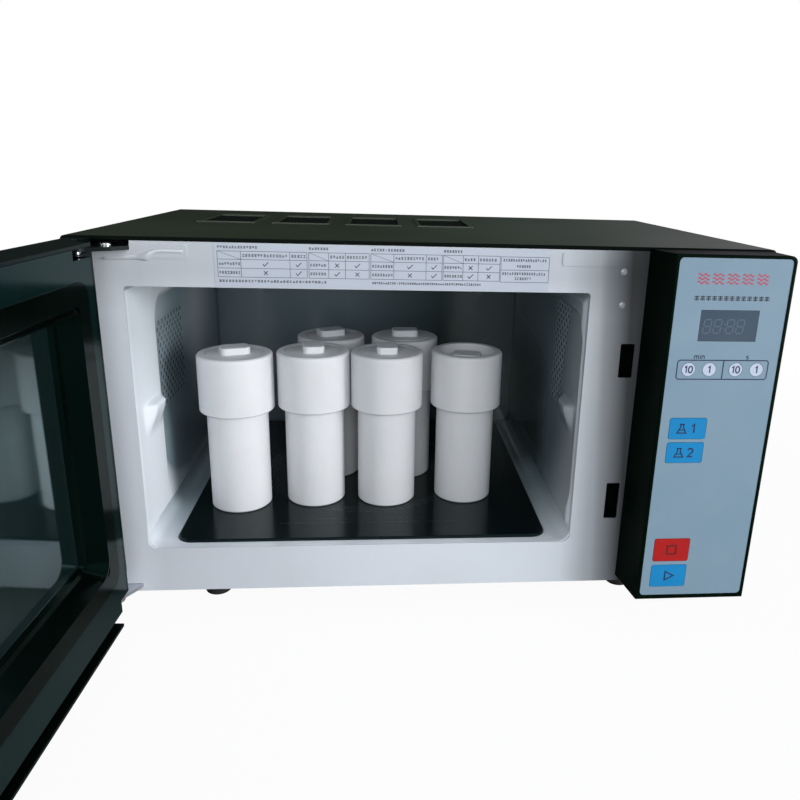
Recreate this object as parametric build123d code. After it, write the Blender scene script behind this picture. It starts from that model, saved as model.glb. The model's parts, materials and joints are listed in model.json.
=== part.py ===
from build123d import *
import math
import os

# Bench-top microwave digestion reactor: cabinet with a swinging door, a control panel
# with travelling keys, and six lidded vessels on a ceramic plate.
# Millimetres, +Z up. X runs to the right as seen from the front. Inside the functions
# y is measured back from the front frame's face; the export moves the origin to the
# middle of the cabinet's footprint on the standing surface.

# Cabinet
cabinet_width = 485.0
cabinet_depth = 292.0
cabinet_top = 284.5
foot_height = 15.0
sheet = 1.0
seat_gap = 0.3
rest_contact = 0.0
through = 1.0
base_bottom = foot_height
cover_bottom = base_bottom + 2.0
cover_corner = 3.0
cover_hem_depth = 10.0
cover_hem_thickness = 1.4
cover_return = 14.0

# Vents in the cover's top: louvred windows in a row
vent_count = 4
vent_first_from_left = 58.0
vent_pitch = 61.0
vent_width = 41.5
vent_front_y = 138.0
vent_slots = 6
vent_slot = 11.6
vent_rib = 3.0
vent_rim = 3.0
vent_rim_height = 0.8
side_vent_count = 12
side_vent_pitch = 7.0
side_vent_width = 3.0
side_vent_height = 36.0
side_vent_back = 96.0
side_vent_drop = 108.5

# Front frame and the oven opening
frame_sheet = 1.2
frame_bottom = 22.0
frame_return = 8.0
frame_bottom_return = 13.5
frame_side_gap = 0.3
opening_left_inset = 36.3
opening_right_inset = 131.7
opening_bottom = 57.3
opening_drop = 32.6
opening_corner = 6.0
opening_top_corner = 2.0
pad_height = 0.6
pad_edge = 2.0
pad_drop = 14.0
pad_left_inset = (6.5, 79.5)
pad_right_inset = (153.5, 95.5)
wire_window_inset = (74.5, 16.5)
wire_window_bottom = 100.0
wire_window_drop = 44.5

# Cavity
cavity_behind = 7.5
cavity_corner = 9.0
cavity_top_corner = 3.0
well_depth = 11.3
ledge_width = 7.0

# Ceramic plate
plate_left_inset = 53.2
plate_right_inset = 148.0
plate_front = 8.5
plate_back_gap = 5.5
plate_thickness = 4.0
plate_proud = 2.0
plate_corner = 12.0
plate_gap = 0.6
plate_edge = 0.8

# Feet
foot_from_right = 76.5
foot_inset_y = 36.0
foot_radius = 11.5
foot_taper = 1.5
foot_stem_radius = 3.0
foot_stem_gap = 0.2
foot_stem_height = 3.0
foot_barb = 1.0
foot_pocket_radius = 4.0
foot_pocket_depth = 3.0

# Base tray and rear panel
base_front_y = 12.2
base_side_height = 18.0
base_front_gap = 0.3
back_slot_count = 11
back_slot_width = 4.0
back_slot_pitch = 9.0
exhaust_count = 14
exhaust_pitch = 10.0
exhaust_height = 30.0
exhaust_from_left = 42.5
exhaust_drop = 62.5

# Screws
screw_radius = 2.0
screw_hole_gap = 0.2
screw_length = 6.0
screw_head_radius = 3.8
screw_head_height = 2.2
screw_socket_radius = 1.6
screw_socket_depth = 1.2
back_screw_from_right = 10.5
back_screw_low = 60.0
back_screw_drop = 44.5
back_screw_below_fan = 28.0
side_screw_rise = 10.0
side_screw_inset = 42.0

# Wave path under the cavity
guide_wall = 0.8
guide_tail = 50.6
guide_right_inset = 26.5
guide_width = 80.0
guide_height = 15.0
guide_front = 105.0
antenna_hole_radius = 20.0
antenna_hub_radius = 7.0
antenna_disc_radius = 72.0
antenna_disc_thickness = 1.5
antenna_lift = 5.0
antenna_slot_count = 3
antenna_slot_width = 16.0
antenna_slot_inner = 22.0
antenna_slot_outer = 60.0
motor_shaft_radius = 3.0
running_clearance = 0.05
shaft_hole_radius = 5.0
stirrer_motor_radius = 25.0
stirrer_ear_length = 8.0
stirrer_ear_width = 12.0
stirrer_ear_thickness = 1.5

# Magnetron, standing on the waveguide's free end
magnetron_from_right = 78.5
magnetron_length = 88.0
magnetron_yoke_height = 62.0
magnetron_yoke_sheet = 2.0
magnetron_anode_radius = 20.0
magnetron_magnet_radius = 27.0
magnetron_magnet_height = 12.0
magnetron_fin_count = 5
magnetron_fin_sheet = 1.0
magnetron_fin_inset = 4.0
magnetron_filter = (52.0, 42.0, 28.0)
magnetron_probe_radius = 9.0
magnetron_probe_length = 9.0
magnetron_probe_gap = 3.0

# Transformer and capacitor
transformer_from_right = 64.5
transformer_gap = 1.0
transformer_core = (92.0, 46.0, 78.0)
transformer_window = (18.0, 40.0)
transformer_coil_overhang = 15.0
transformer_plate = (108.0, 50.0, 2.0)
capacitor_from_right = 38.5
capacitor_gap = 15.0
capacitor_size = (52.0, 32.0, 92.0)
capacitor_lug = (6.0, 1.0, 8.0)
capacitor_lug_pitch = 22.0

# Cooling fan
fan_from_right = 66.5
fan_drop = 106.5
fan_duct_depth = 31.7
fan_duct_radius = 55.0
fan_duct_wall = 2.0
fan_plate_half = 60.0
fan_plate_thickness = 2.5
fan_tip_gap = 3.0
fan_hub_radius = 12.0
fan_hub_length = 16.0
fan_blade_count = 5
fan_blade_chord = 22.0
fan_blade_thickness = 1.6
fan_blade_pitch_deg = 35.0
fan_shaft_radius = 2.5
fan_start_gap = 4.0
fan_spoke_width = 8.0
fan_motor_size = (58.0, 22.0, 50.0)
fan_coil_radius = 14.0
fan_coil_length = 34.0

# Control panel
panel_left_front_inset = 84.4
panel_left_back_inset = 92.1
panel_bottom_front = 22.6
panel_bottom_back = 27.3
top_drop = 1.0
panel_depth = 29.5
panel_wall = 2.5
panel_corner = 3.0
panel_top_corner = 4.5
overlay_thickness = 0.8
overlay_recess = 1.0
overlay_gap = 0.15
overlay_left = 2.3
overlay_right = 3.2
overlay_top = 2.2
overlay_bottom = 4.3
overlay_corner = 3.0
display_left = 21.4
display_drop = 37.1
display_size = (41.1, 21.5)
display_ledge = 1.5
key_gap = 0.3
key_proud = 0.1
key_flange = 1.2
key_flange_thickness = 1.0
key_stem_radius = 2.0
key_corner = 1.5
key_travel = 0.4
round_key_radius = 4.7
round_key_drop = 78.7
round_keys = {
    "key_min_10": 17.5,
    "key_min_1": 32.5,
    "key_sec_10": 51.5,
    "key_sec_1": 66.6,
}
wide_key_left = 9.2
wide_key_width = 26.9
program_keys = {"key_program_1": (114.4, 15.6), "key_program_2": (132.8, 15.4)}
run_keys = {"key_stop": (33.0, 18.6), "key_start": (11.5, 18.2)}
board_thickness = 1.6
board_margin = 6.0
board_face_y = -17.0
board_post_radius = 3.0
board_post_inset = 5.0
board_post_left = 49.0
switch_size = 6.0
display_module_margin = 1.0
relay_size = (20.0, 12.0, 16.0)
relay_drops = (60.0, 100.0, 170.0)

# Door, given closed and then swung open about its pin
door_edge_gap = 1.6
door_bottom = 22.6
door_front = -29.5
door_inner = -2.2
door_wall = 2.0
door_edge_round = 2.0
door_front_corner = 8.0
door_open_deg = 93.0
pin_from_left = 16.0
pin_y = -17.5
pin_radius = 3.0
hinge_end_right_inset = 29.5
hinge_end_back = -13.0
hinge_end_chamfer = 4.0
hinge_arm_thickness = 2.5
hinge_arm_radius = 6.0
hinge_arm_gap = 1.1
upper_arm_right_inset = 42.5
lower_arm_right_inset = 29.5
hinge_arm_left_inset = 13.5
hinge_leg_drop = 15.0
hinge_boss = 7.0
upper_arm_drop = 8.4
lower_arm_z = 25.6
lower_notch_height = 17.0
lower_notch_right_inset = 42.5
hinge_collar_radius = 5.0
hinge_cut_length = 25.0
stop_screw_from_left = 30.0
stop_screw_y = -6.0
glass_thickness = 3.0
glass_recess = 0.4
glass_gap = 0.25
glass_left_inset = 26.5
glass_right_inset = 124.5
glass_bottom = 46.0
glass_drop = 24.5
glass_ledge = 6.0
glass_corner = 6.0
inner_sheet = 1.2
inner_right_inset = 96.5
inner_bottom = 34.0
inner_return = 6.0
ring_left_inset = 42.5
ring_right_inset = 137.9
ring_bottom = 58.5
ring_drop = 22.0
ring_band = 13.5
ring_corner = 10.0
ring_proud = 1.2
funnel_wall = 1.2
# The funnel's steps: how far in from the ring's outer edge, and how deep from its face
funnel_steps = ((13.5, 0.0), (19.5, 11.5), (22.0, 12.7), (24.0, 15.2))
funnel_corner = 11.5
screen_margin = 4.0
screen_thickness = 1.0
handle_from_right = 110.5
handle_width = 16.0
handle_bottom = 62.0
handle_drop = 40.5
handle_reach = 34.0
handle_grip = 12.0
handle_corner = 4.0

# Latch
latch_from_right = 101.0
latch_slot_width = 10.3
lower_slot = (76.8, 29.7)
upper_slot_drop = 69.0
upper_slot_height = 25.3
latch_rise = 5.0
hook_thickness = 4.0
hook_height = 11.0
hook_reach = 11.0
hook_barb = 3.5
hook_barb_length = 4.0
hook_slot_gap = 1.0
hook_foot = 5.0
latch_bar_front = -12.0
latch_bar_back = -6.0
spring_wire = 0.5
spring_radius = 2.4
spring_turns = 5
spring_length = 20.0
spring_shelf = 2.0
spring_shelf_reach = 6.0
board_pocket_gap = 1.2
interlock_depth = 24.0
interlock_width = 22.0
interlock_wall = 5.0
interlock_end = 12.0
switch_block = (10.0, 11.0, 20.0)

# Usage table on the front frame
label_left_inset = 96.5
label_right_inset = 162.5
label_height = 28.4
label_drop = 3.5
label_thickness = 0.25

# Cord gland in the rear panel
gland_from_right = 37.5
gland_z = 48.0
gland_hole_radius = 8.0
gland_flange_radius = 12.0
gland_flange = 3.0
gland_bore_radius = 4.0
gland_length = 14.0
gland_nut_radius = 11.0

# Vessels
vessel_radius = 24.2
vessel_height = 104.0
vessel_bore = 17.0
vessel_floor = 8.0
vessel_edge = 1.2
cap_radius = 29.5
cap_bottom = 82.7
cap_top = 129.0
cap_shoulder = 112.0
cap_mouth = 23.0
cap_edge = 2.5
cap_rim_edge = 0.8
lid_plug_gap = 0.3
lid_plug_length = 6.0
lid_flange_gap = 0.25
lid_boss_gap = 0.5
lid_drop = 0.4
grip_size = (23.0, 17.0)
grip_height = 5.4
grip_corner = 4.5
grip_edge = 1.2
# Each vessel's centre, the turn of its grip, and how far its lid stands off flush
vessels = (
    (-151.2, 76.0, 20.0, 0.0),
    (-90.3, 85.6, 98.0, 0.0),
    (-30.5, 84.4, 91.0, 0.0),
    (36.1, 89.2, -12.0, -7.5),
    (-79.5, 144.4, 25.0, 0.0),
    (-14.0, 142.6, 3.0, 0.8),
)

# Levels and edges worked out from the sizes above
half_width = cabinet_width / 2
inner_half = half_width - sheet
frame_top = cabinet_top - sheet - cover_hem_thickness - seat_gap
opening_top = cabinet_top - opening_drop
panel_top = cabinet_top - top_drop
door_top = cabinet_top - top_drop
door_middle_z = (door_bottom + door_top) / 2
frame_half = inner_half - cover_hem_thickness - frame_side_gap
opening_left = opening_left_inset - half_width
plate_left = plate_left_inset - half_width
exhaust_x = exhaust_from_left - half_width
pin_x = pin_from_left - half_width
hinge_end_right = hinge_end_right_inset - half_width
upper_arm_right = upper_arm_right_inset - half_width
lower_arm_right = lower_arm_right_inset - half_width
hinge_arm_left = hinge_arm_left_inset - half_width
lower_notch_right = lower_notch_right_inset - half_width
stop_screw_x = stop_screw_from_left - half_width
glass_left = glass_left_inset - half_width
ring_left = ring_left_inset - half_width
vent_first_x = vent_first_from_left - half_width
opening_right = half_width - opening_right_inset
plate_right = half_width - plate_right_inset
foot_x = half_width - foot_from_right
back_screw_x = half_width - back_screw_from_right
guide_right = half_width - guide_right_inset
magnetron_x = half_width - magnetron_from_right
transformer_x = half_width - transformer_from_right
capacitor_x = half_width - capacitor_from_right
fan_x = half_width - fan_from_right
panel_left_front = half_width - panel_left_front_inset
panel_left_back = half_width - panel_left_back_inset
glass_right = half_width - glass_right_inset
inner_right = half_width - inner_right_inset
ring_right = half_width - ring_right_inset
handle_x = half_width - handle_from_right
latch_x = half_width - latch_from_right
gland_x = half_width - gland_from_right
door_left = -half_width
pad_left = [inset - half_width for inset in pad_left_inset]
pad_right = [half_width - inset for inset in pad_right_inset]
wire_window_sides = [half_width - inset for inset in wire_window_inset]
antenna_x = (plate_left + plate_right) / 2
guide_left = antenna_x - guide_tail
side_screw_z = base_bottom + side_screw_rise
guide_y = guide_front + guide_width / 2
transformer_y = guide_front - transformer_gap - transformer_core[1] / 2 - transformer_coil_overhang
capacitor_y = guide_front + guide_width + capacitor_gap + capacitor_size[1] / 2
cavity_front = frame_sheet + seat_gap
plate_top = opening_bottom + plate_proud
ledge_z = plate_top - plate_thickness
well_floor = ledge_z - well_depth
guide_top = well_floor - sheet
guide_bottom = guide_top - guide_height
base_top = base_bottom + sheet
rear_y = cabinet_depth - sheet - seat_gap
cavity_back = cabinet_depth - cavity_behind
plate_back = cavity_back - plate_back_gap
fan_z = cabinet_top - fan_drop
fan_plate_y = rear_y - sheet - fan_duct_depth
back_screw_levels = (back_screw_low, fan_z - back_screw_below_fan, cabinet_top - back_screw_drop)
overlay_x0 = panel_left_front + overlay_left
overlay_x1 = half_width - overlay_right
overlay_z0 = panel_bottom_front + overlay_bottom
overlay_z1 = panel_top - overlay_top
overlay_back_y = -panel_depth + overlay_recess
overlay_face_y = overlay_back_y - overlay_thickness
key_face_y = overlay_face_y - key_proud
front_wall_back_y = -panel_depth + panel_wall
key_flange_y = front_wall_back_y + seat_gap
switch_face_y = board_face_y - switch_size / 2
door_right_front = panel_left_front - door_edge_gap
door_right_back = panel_left_back - door_edge_gap
upper_arm_z = cabinet_top - upper_arm_drop
glass_top = cabinet_top - glass_drop
ring_top = cabinet_top - ring_drop
ring_face_y = door_inner + ring_proud
handle_top = cabinet_top - handle_drop
inner_top = door_top - door_wall
latch_slots = (
    (lower_slot[0], lower_slot[0] + lower_slot[1]),
    (cabinet_top - upper_slot_drop - upper_slot_height, cabinet_top - upper_slot_drop),
)
label_left = label_left_inset - half_width
label_right = half_width - label_right_inset
label_top = cabinet_top - label_drop
label_bottom = label_top - label_height
lower_notch_top = lower_arm_z + lower_notch_height


def block(x0, x1, y0, y1, z0, z1):
    place = Pos((x0 + x1) / 2, (y0 + y1) / 2, (z0 + z1) / 2)
    return place * Box(x1 - x0, y1 - y0, z1 - z0)


def rounded(x0, x1, y0, y1, z0, z1, radius, axis):
    solid = block(x0, x1, y0, y1, z0, z1)
    return fillet(solid.edges().filter_by(axis), radius)


def opening_block(grow, y0, y1, corner, top_corner):
    """The oven opening's outline: round lower corners, tighter upper ones."""
    solid = block(opening_left - grow, opening_right + grow, y0, y1, opening_bottom - grow,
                  opening_top + grow)
    levels = solid.edges().filter_by(Axis.Y).group_by(Axis.Z)
    solid = fillet(levels[0], corner)
    return fillet(solid.edges().filter_by(Axis.Y).group_by(Axis.Z)[-1], top_corner)


def rod_z(x, y, z0, z1, radius):
    return Pos(x, y, (z0 + z1) / 2) * Cylinder(radius, z1 - z0)


def rod_y(x, z, y0, y1, radius):
    return Pos(x, (y0 + y1) / 2, z) * Rot(90, 0, 0) * Cylinder(radius, y1 - y0)


def outline_z(points, z0, z1):
    """Closed outline in plan, raised from z0 to z1."""
    face = make_face(Polyline(*points, close=True))
    return Pos(0, 0, z0) * extrude(face, z1 - z0)


# Cabinet shell


def cover_vents(x0, y0):
    length = vent_slots * vent_slot + (vent_slots - 1) * vent_rib
    rim = block(
        x0 - vent_rim, x0 + vent_width + vent_rim,
        y0 - vent_rim, y0 + length + vent_rim,
        cabinet_top - sheet / 2, cabinet_top + vent_rim_height,
    )
    rim -= block(x0, x0 + vent_width, y0, y0 + length, cabinet_top, cabinet_top + 2 * vent_rim_height)
    cuts = []
    for row in range(vent_slots):
        y = y0 + row * (vent_slot + vent_rib)
        cuts.append(block(x0, x0 + vent_width, y, y + vent_slot,
                          cabinet_top - sheet - through, cabinet_top + through))
    return rim, cuts


def make_outer_cover():
    outer = block(-half_width, half_width, 0, cabinet_depth, cover_bottom, cabinet_top)
    outer = fillet(outer.edges().filter_by(Axis.Y).group_by(Axis.Z)[-1], cover_corner)
    inner = block(-inner_half, inner_half, -through, cabinet_depth + through,
                  cover_bottom - through, cabinet_top - sheet)
    inner = fillet(inner.edges().filter_by(Axis.Y).group_by(Axis.Z)[-1], cover_corner - sheet)
    cover = outer - inner
    hem_half = inner_half - cover_hem_thickness
    hem = inner & block(-half_width, half_width, 0, cover_hem_depth, cover_bottom, cabinet_top)
    hem -= block(-hem_half, hem_half, -through, cover_hem_depth + through,
                 cover_bottom - through, cabinet_top - sheet - cover_hem_thickness)
    rear_half = half_width - cover_return
    rear = inner & block(-half_width, half_width, cabinet_depth - sheet, cabinet_depth,
                         cover_bottom, cabinet_top)
    rear -= block(-rear_half, rear_half, cabinet_depth - 2 * sheet, cabinet_depth + through,
                  cover_bottom - through, cabinet_top - cover_return)
    cover = cover + hem + rear
    for window in range(vent_count):
        rim, cuts = cover_vents(vent_first_x + window * vent_pitch, vent_front_y)
        cover = cover + rim - cuts
    for side in (-1, 1):
        for slot in range(side_vent_count):
            y = cabinet_depth - side_vent_back + slot * side_vent_pitch
            cover -= Pos(side * half_width, y, cabinet_top - side_vent_drop) * Box(4 * sheet, side_vent_width, side_vent_height)
    return cover - screw_holes()


def make_base_plate():
    half = inner_half - seat_gap
    tray = block(-half, half, base_front_y, rear_y - sheet - seat_gap, base_bottom,
                 base_bottom + base_side_height)
    tray -= block(-half + sheet, half - sheet, base_front_y + sheet, cabinet_depth,
                  base_top, base_bottom + base_side_height + through)
    front_lip_top = frame_bottom - base_front_gap
    tray -= block(-half_width, half_width, 0, base_front_y + sheet, front_lip_top, cabinet_top)
    for x, y in foot_places():
        tray -= rod_z(x, y, base_bottom - through, base_top + through, foot_stem_radius + foot_stem_gap)
    return tray - screw_holes()


def make_back_panel():
    half = inner_half - seat_gap
    panel = block(-half, half, rear_y - sheet, rear_y, base_top + seat_gap,
                  cabinet_top - sheet - seat_gap)
    panel = fillet(panel.edges().filter_by(Axis.Y).group_by(Axis.Z)[-1], cover_corner)
    reach = fan_duct_radius - fan_duct_wall
    for slot in range(back_slot_count):
        x = (slot - (back_slot_count - 1) / 2) * back_slot_pitch
        tall = 2 * math.sqrt(reach**2 - x**2) - back_slot_width
        panel -= Pos(fan_x + x, rear_y, fan_z) * Box(back_slot_width, 4 * sheet, tall)
    for slot in range(exhaust_count):
        x = exhaust_x + slot * exhaust_pitch
        panel -= Pos(x, rear_y, cabinet_top - exhaust_drop) * Box(back_slot_width, 4 * sheet, exhaust_height)
    panel -= rod_y(gland_x, gland_z, rear_y - 2 * sheet, rear_y + through, gland_hole_radius)
    return panel - screw_holes()


def make_front_frame():
    frame = block(-frame_half, frame_half, 0, frame_return, frame_bottom, frame_top)
    frame -= block(-frame_half + frame_sheet, frame_half - frame_sheet, frame_sheet,
                   frame_return + through, frame_bottom + frame_sheet, frame_top - frame_sheet)
    frame += block(-frame_half, frame_half, 0, frame_bottom_return, frame_bottom,
                   frame_bottom + frame_sheet)
    for left, right in (pad_left, pad_right):
        pad = rounded(left, right, -pad_height, frame_sheet / 2, cabinet_top - pad_drop,
                      frame_top - pad_edge, pad_edge, Axis.Y)
        frame += pad
    frame -= opening_block(0, -2 * through, frame_return, opening_corner, opening_top_corner)
    for low, high in latch_slots:
        frame -= rounded(latch_x - latch_slot_width / 2, latch_x + latch_slot_width / 2,
                         -2 * through, frame_return, low, high, 1.0, Axis.Y)
    frame -= block(hinge_arm_left - seat_gap, upper_arm_right + seat_gap, -2 * through,
                   frame_return + through, upper_arm_z - seat_gap, frame_top + through)
    frame -= block(hinge_arm_left - seat_gap, lower_arm_right + seat_gap, -2 * through,
                   frame_sheet + through, lower_arm_z - seat_gap,
                   lower_arm_z + hinge_arm_thickness + seat_gap)
    x0, x1 = wire_window_sides
    return frame - block(x0, x1, -through, frame_return, wire_window_bottom,
                         cabinet_top - wire_window_drop)


def make_cavity_shell():
    front, back = cavity_front, cavity_back
    shell = opening_block(sheet, front, back + sheet, cavity_corner + sheet,
                          cavity_top_corner + sheet)
    shell -= opening_block(0, front - through, back, cavity_corner, cavity_top_corner)
    lip_left, lip_right = opening_left - ledge_width, opening_right + ledge_width
    lip = block(lip_left, lip_right, front, front + sheet, opening_bottom - ledge_width,
                opening_top + ledge_width)
    lip -= opening_block(0, 0, frame_return, opening_corner, opening_top_corner)
    shell += lip
    # Stepped floor: a pocket for the plate, then the antenna's well
    pocket = [plate_left - plate_gap, plate_right + plate_gap,
              plate_front - plate_gap, plate_back + plate_gap]
    shell += floor_tray(pocket, ledge_z - sheet, opening_bottom, 0)
    shell -= floor_tray(pocket, ledge_z, opening_bottom + through, -sheet)
    shell += floor_tray(pocket, well_floor - sheet, ledge_z, -ledge_width)
    shell -= floor_tray(pocket, well_floor, ledge_z + through, -ledge_width - sheet)
    return shell - rod_z(antenna_x, guide_y, well_floor - 2 * sheet, ledge_z, antenna_hole_radius)


def floor_tray(pocket, z0, z1, grow):
    x0, x1, y0, y1 = pocket
    grow += sheet
    return rounded(x0 - grow, x1 + grow, y0 - grow, y1 + grow, z0, z1,
                   plate_corner + plate_gap + grow, Axis.Z)


def make_ceramic_plate():
    plate = rounded(plate_left, plate_right, plate_front, plate_back, ledge_z, plate_top,
                    plate_corner, Axis.Z)
    return chamfer(plate.faces().sort_by(Axis.Z)[-1].edges(), plate_edge)


def foot_places():
    return [(x, y) for x in (-foot_x, foot_x) for y in (foot_inset_y, cabinet_depth - foot_inset_y)]


def make_feet():
    feet = []
    for x, y in foot_places():
        foot = Pos(x, y, foot_height / 2) * Cone(foot_radius - foot_taper, foot_radius, foot_height)
        foot = fillet(foot.edges().group_by(Axis.Z)[0], foot_taper)
        foot -= rod_z(x, y, 0, foot_pocket_depth, foot_pocket_radius)
        stem_top = base_top + foot_stem_height
        foot += rod_z(x, y, foot_height, stem_top, foot_stem_radius)
        foot += rod_z(x, y, base_top + foot_stem_gap, base_top + foot_stem_gap + foot_barb,
                      foot_stem_radius + foot_barb)
        feet.append(foot)
    return feet


# Fasteners


def screw_places():
    """Each screw's seat, the direction its head faces, and nothing more."""
    places = [((side * back_screw_x, cabinet_depth, z), (0, 1, 0))
              for side in (-1, 1) for z in back_screw_levels]
    places += [((side * half_width, y, side_screw_z), (side, 0, 0))
               for side in (-1, 1) for y in (side_screw_inset, cabinet_depth - side_screw_inset)]
    return places


def screw_holes():
    holes = []
    for seat, facing in screw_places():
        plane = Plane(origin=seat, z_dir=facing)
        holes.append(plane * Cylinder(screw_radius + screw_hole_gap, 4 * screw_length))
    return holes


def make_screw(seat, facing):
    plane = Plane(origin=seat, z_dir=facing)
    screw = plane * (Pos(0, 0, -screw_length / 2) * Cylinder(screw_radius, screw_length))
    head = Pos(0, 0, screw_head_height / 2) * Cylinder(screw_head_radius, screw_head_height)
    head = fillet(head.edges().group_by(Axis.Z)[-1], screw_head_height / 3)
    socket_z = screw_head_height - screw_socket_depth / 2
    head -= Pos(0, 0, socket_z) * Box(2 * screw_socket_radius, 0.8, screw_socket_depth)
    head -= Pos(0, 0, socket_z) * Box(0.8, 2 * screw_socket_radius, screw_socket_depth)
    return screw + plane * head


def make_case_screws():
    screws = [make_screw(seat, facing) for seat, facing in screw_places()]
    stop_seat = (stop_screw_x, stop_screw_y, upper_arm_z + hinge_arm_thickness)
    short = make_screw(stop_seat, (0, 0, 1))
    floor_z = upper_arm_z - seat_gap
    screws.append(short & block(stop_screw_x - 9, stop_screw_x + 9, stop_screw_y - 9,
                                stop_screw_y + 9, floor_z, cabinet_top))
    return screws


# Wave path


def make_waveguide():
    y0, y1 = guide_y - guide_width / 2, guide_y + guide_width / 2
    guide = block(guide_left, guide_right, y0, y1, guide_bottom, guide_top)
    guide -= block(guide_left + guide_wall, guide_right - guide_wall, y0 + guide_wall,
                   y1 - guide_wall, guide_bottom + guide_wall, guide_top - guide_wall)
    guide -= rod_z(antenna_x, guide_y, guide_top - 2 * guide_wall, guide_top + through,
                   antenna_hole_radius)
    guide -= rod_z(magnetron_x, guide_y, guide_top - 2 * guide_wall, guide_top + through,
                   magnetron_probe_radius + magnetron_probe_gap)
    return guide - rod_z(antenna_x, guide_y, guide_bottom - through, guide_bottom + 2 * guide_wall,
                         shaft_hole_radius)


def make_stirrer_motor():
    top = guide_bottom
    low = base_top + seat_gap
    motor = rod_z(antenna_x, guide_y, low, top, stirrer_motor_radius)
    motor = fillet(motor.edges().group_by(Axis.Z)[0], 2.0)
    for side in (-1, 1):
        centre = antenna_x + side * (stirrer_motor_radius + stirrer_ear_length / 2)
        ear = Pos(centre, guide_y, top - stirrer_ear_thickness / 2) * Box(
            stirrer_ear_length + 2, stirrer_ear_width, stirrer_ear_thickness)
        motor += ear
    shaft_top = well_floor - 3.0
    return motor + rod_z(antenna_x, guide_y, top, shaft_top, motor_shaft_radius)


def make_stirrer_antenna():
    disc_z = well_floor + antenna_lift
    hub_low = guide_bottom + guide_wall + seat_gap
    hub = rod_z(antenna_x, guide_y, hub_low, disc_z, antenna_hub_radius)
    disc = rod_z(antenna_x, guide_y, disc_z, disc_z + antenna_disc_thickness, antenna_disc_radius)
    for arm in range(antenna_slot_count):
        middle = (antenna_slot_inner + antenna_slot_outer) / 2
        slot = Box(antenna_slot_outer - antenna_slot_inner, antenna_slot_width, 4 * antenna_disc_thickness)
        slot = fillet(slot.edges().filter_by(Axis.Z), antenna_slot_width / 3)
        turn = Pos(antenna_x, guide_y, disc_z) * Rot(0, 0, arm * 360 / antenna_slot_count)
        disc -= turn * Pos(middle, 0, 0) * slot
    bore_top = well_floor - 3.0 + seat_gap
    bore = rod_z(antenna_x, guide_y, hub_low - through, bore_top,
                 motor_shaft_radius + running_clearance)
    return hub + disc - bore


def make_magnetron():
    low, high = guide_top, guide_top + magnetron_yoke_height
    x0, x1 = magnetron_x - magnetron_length / 2, magnetron_x + magnetron_length / 2
    y0, y1 = guide_y - guide_width / 2, guide_y + guide_width / 2
    yoke = block(x0, x1, y0, y1, low, high)
    yoke -= block(x0 - through, x1 + through, y0 + magnetron_yoke_sheet, y1 - magnetron_yoke_sheet,
                  low + magnetron_yoke_sheet, high - magnetron_yoke_sheet)
    body = yoke + rod_z(magnetron_x, guide_y, low, high, magnetron_anode_radius)
    for z in (low + magnetron_yoke_sheet, high - magnetron_yoke_sheet - magnetron_magnet_height):
        body += rod_z(magnetron_x, guide_y, z, z + magnetron_magnet_height, magnetron_magnet_radius)
    fins_low = low + magnetron_yoke_sheet + magnetron_magnet_height
    fins_high = high - magnetron_yoke_sheet - magnetron_magnet_height
    step = (fins_high - fins_low) / (magnetron_fin_count + 1)
    for fin in range(magnetron_fin_count):
        z = fins_low + (fin + 1) * step
        body += block(x0 + magnetron_fin_inset, x1 - magnetron_fin_inset, y0 + magnetron_yoke_sheet,
                      y1 - magnetron_yoke_sheet, z, z + magnetron_fin_sheet)
    long, wide, tall = magnetron_filter
    body += block(magnetron_x - long / 2, magnetron_x + long / 2, guide_y - wide / 2,
                  guide_y + wide / 2, high, high + tall)
    probe = rod_z(magnetron_x, guide_y, low - magnetron_probe_length, low, magnetron_probe_radius)
    return body + fillet(probe.edges().group_by(Axis.Z)[0], 3.0)


def make_transformer():
    long, deep, tall = transformer_core
    x, y = transformer_x, transformer_y
    plate_long, plate_deep, plate_tall = transformer_plate
    z0 = base_top
    body = block(x - plate_long / 2, x + plate_long / 2, y - plate_deep / 2, y + plate_deep / 2,
                 z0, z0 + plate_tall)
    z0 += plate_tall
    body += block(x - long / 2, x + long / 2, y - deep / 2, y + deep / 2, z0, z0 + tall)
    window_wide, window_tall = transformer_window
    coil_half = long / 2 - window_wide / 2
    middle = z0 + tall / 2
    coil = block(x - coil_half, x + coil_half, y - deep / 2 - transformer_coil_overhang,
                 y + deep / 2 + transformer_coil_overhang, middle - window_tall / 2,
                 middle + window_tall / 2)
    return body + fillet(coil.edges().filter_by(Axis.X), 6.0)


def make_hv_capacitor():
    long, deep, tall = capacitor_size
    can = rounded(capacitor_x - long / 2, capacitor_x + long / 2, capacitor_y - deep / 2,
                  capacitor_y + deep / 2, base_top, base_top + tall, deep / 2 - 1, Axis.Z)
    lug_long, lug_thick, lug_tall = capacitor_lug
    for side in (-1, 1):
        x = capacitor_x + side * capacitor_lug_pitch / 2
        can += block(x - lug_long / 2, x + lug_long / 2, capacitor_y - lug_thick / 2,
                     capacitor_y + lug_thick / 2, base_top + tall, base_top + tall + lug_tall)
    return can


# Cooling fan


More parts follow.
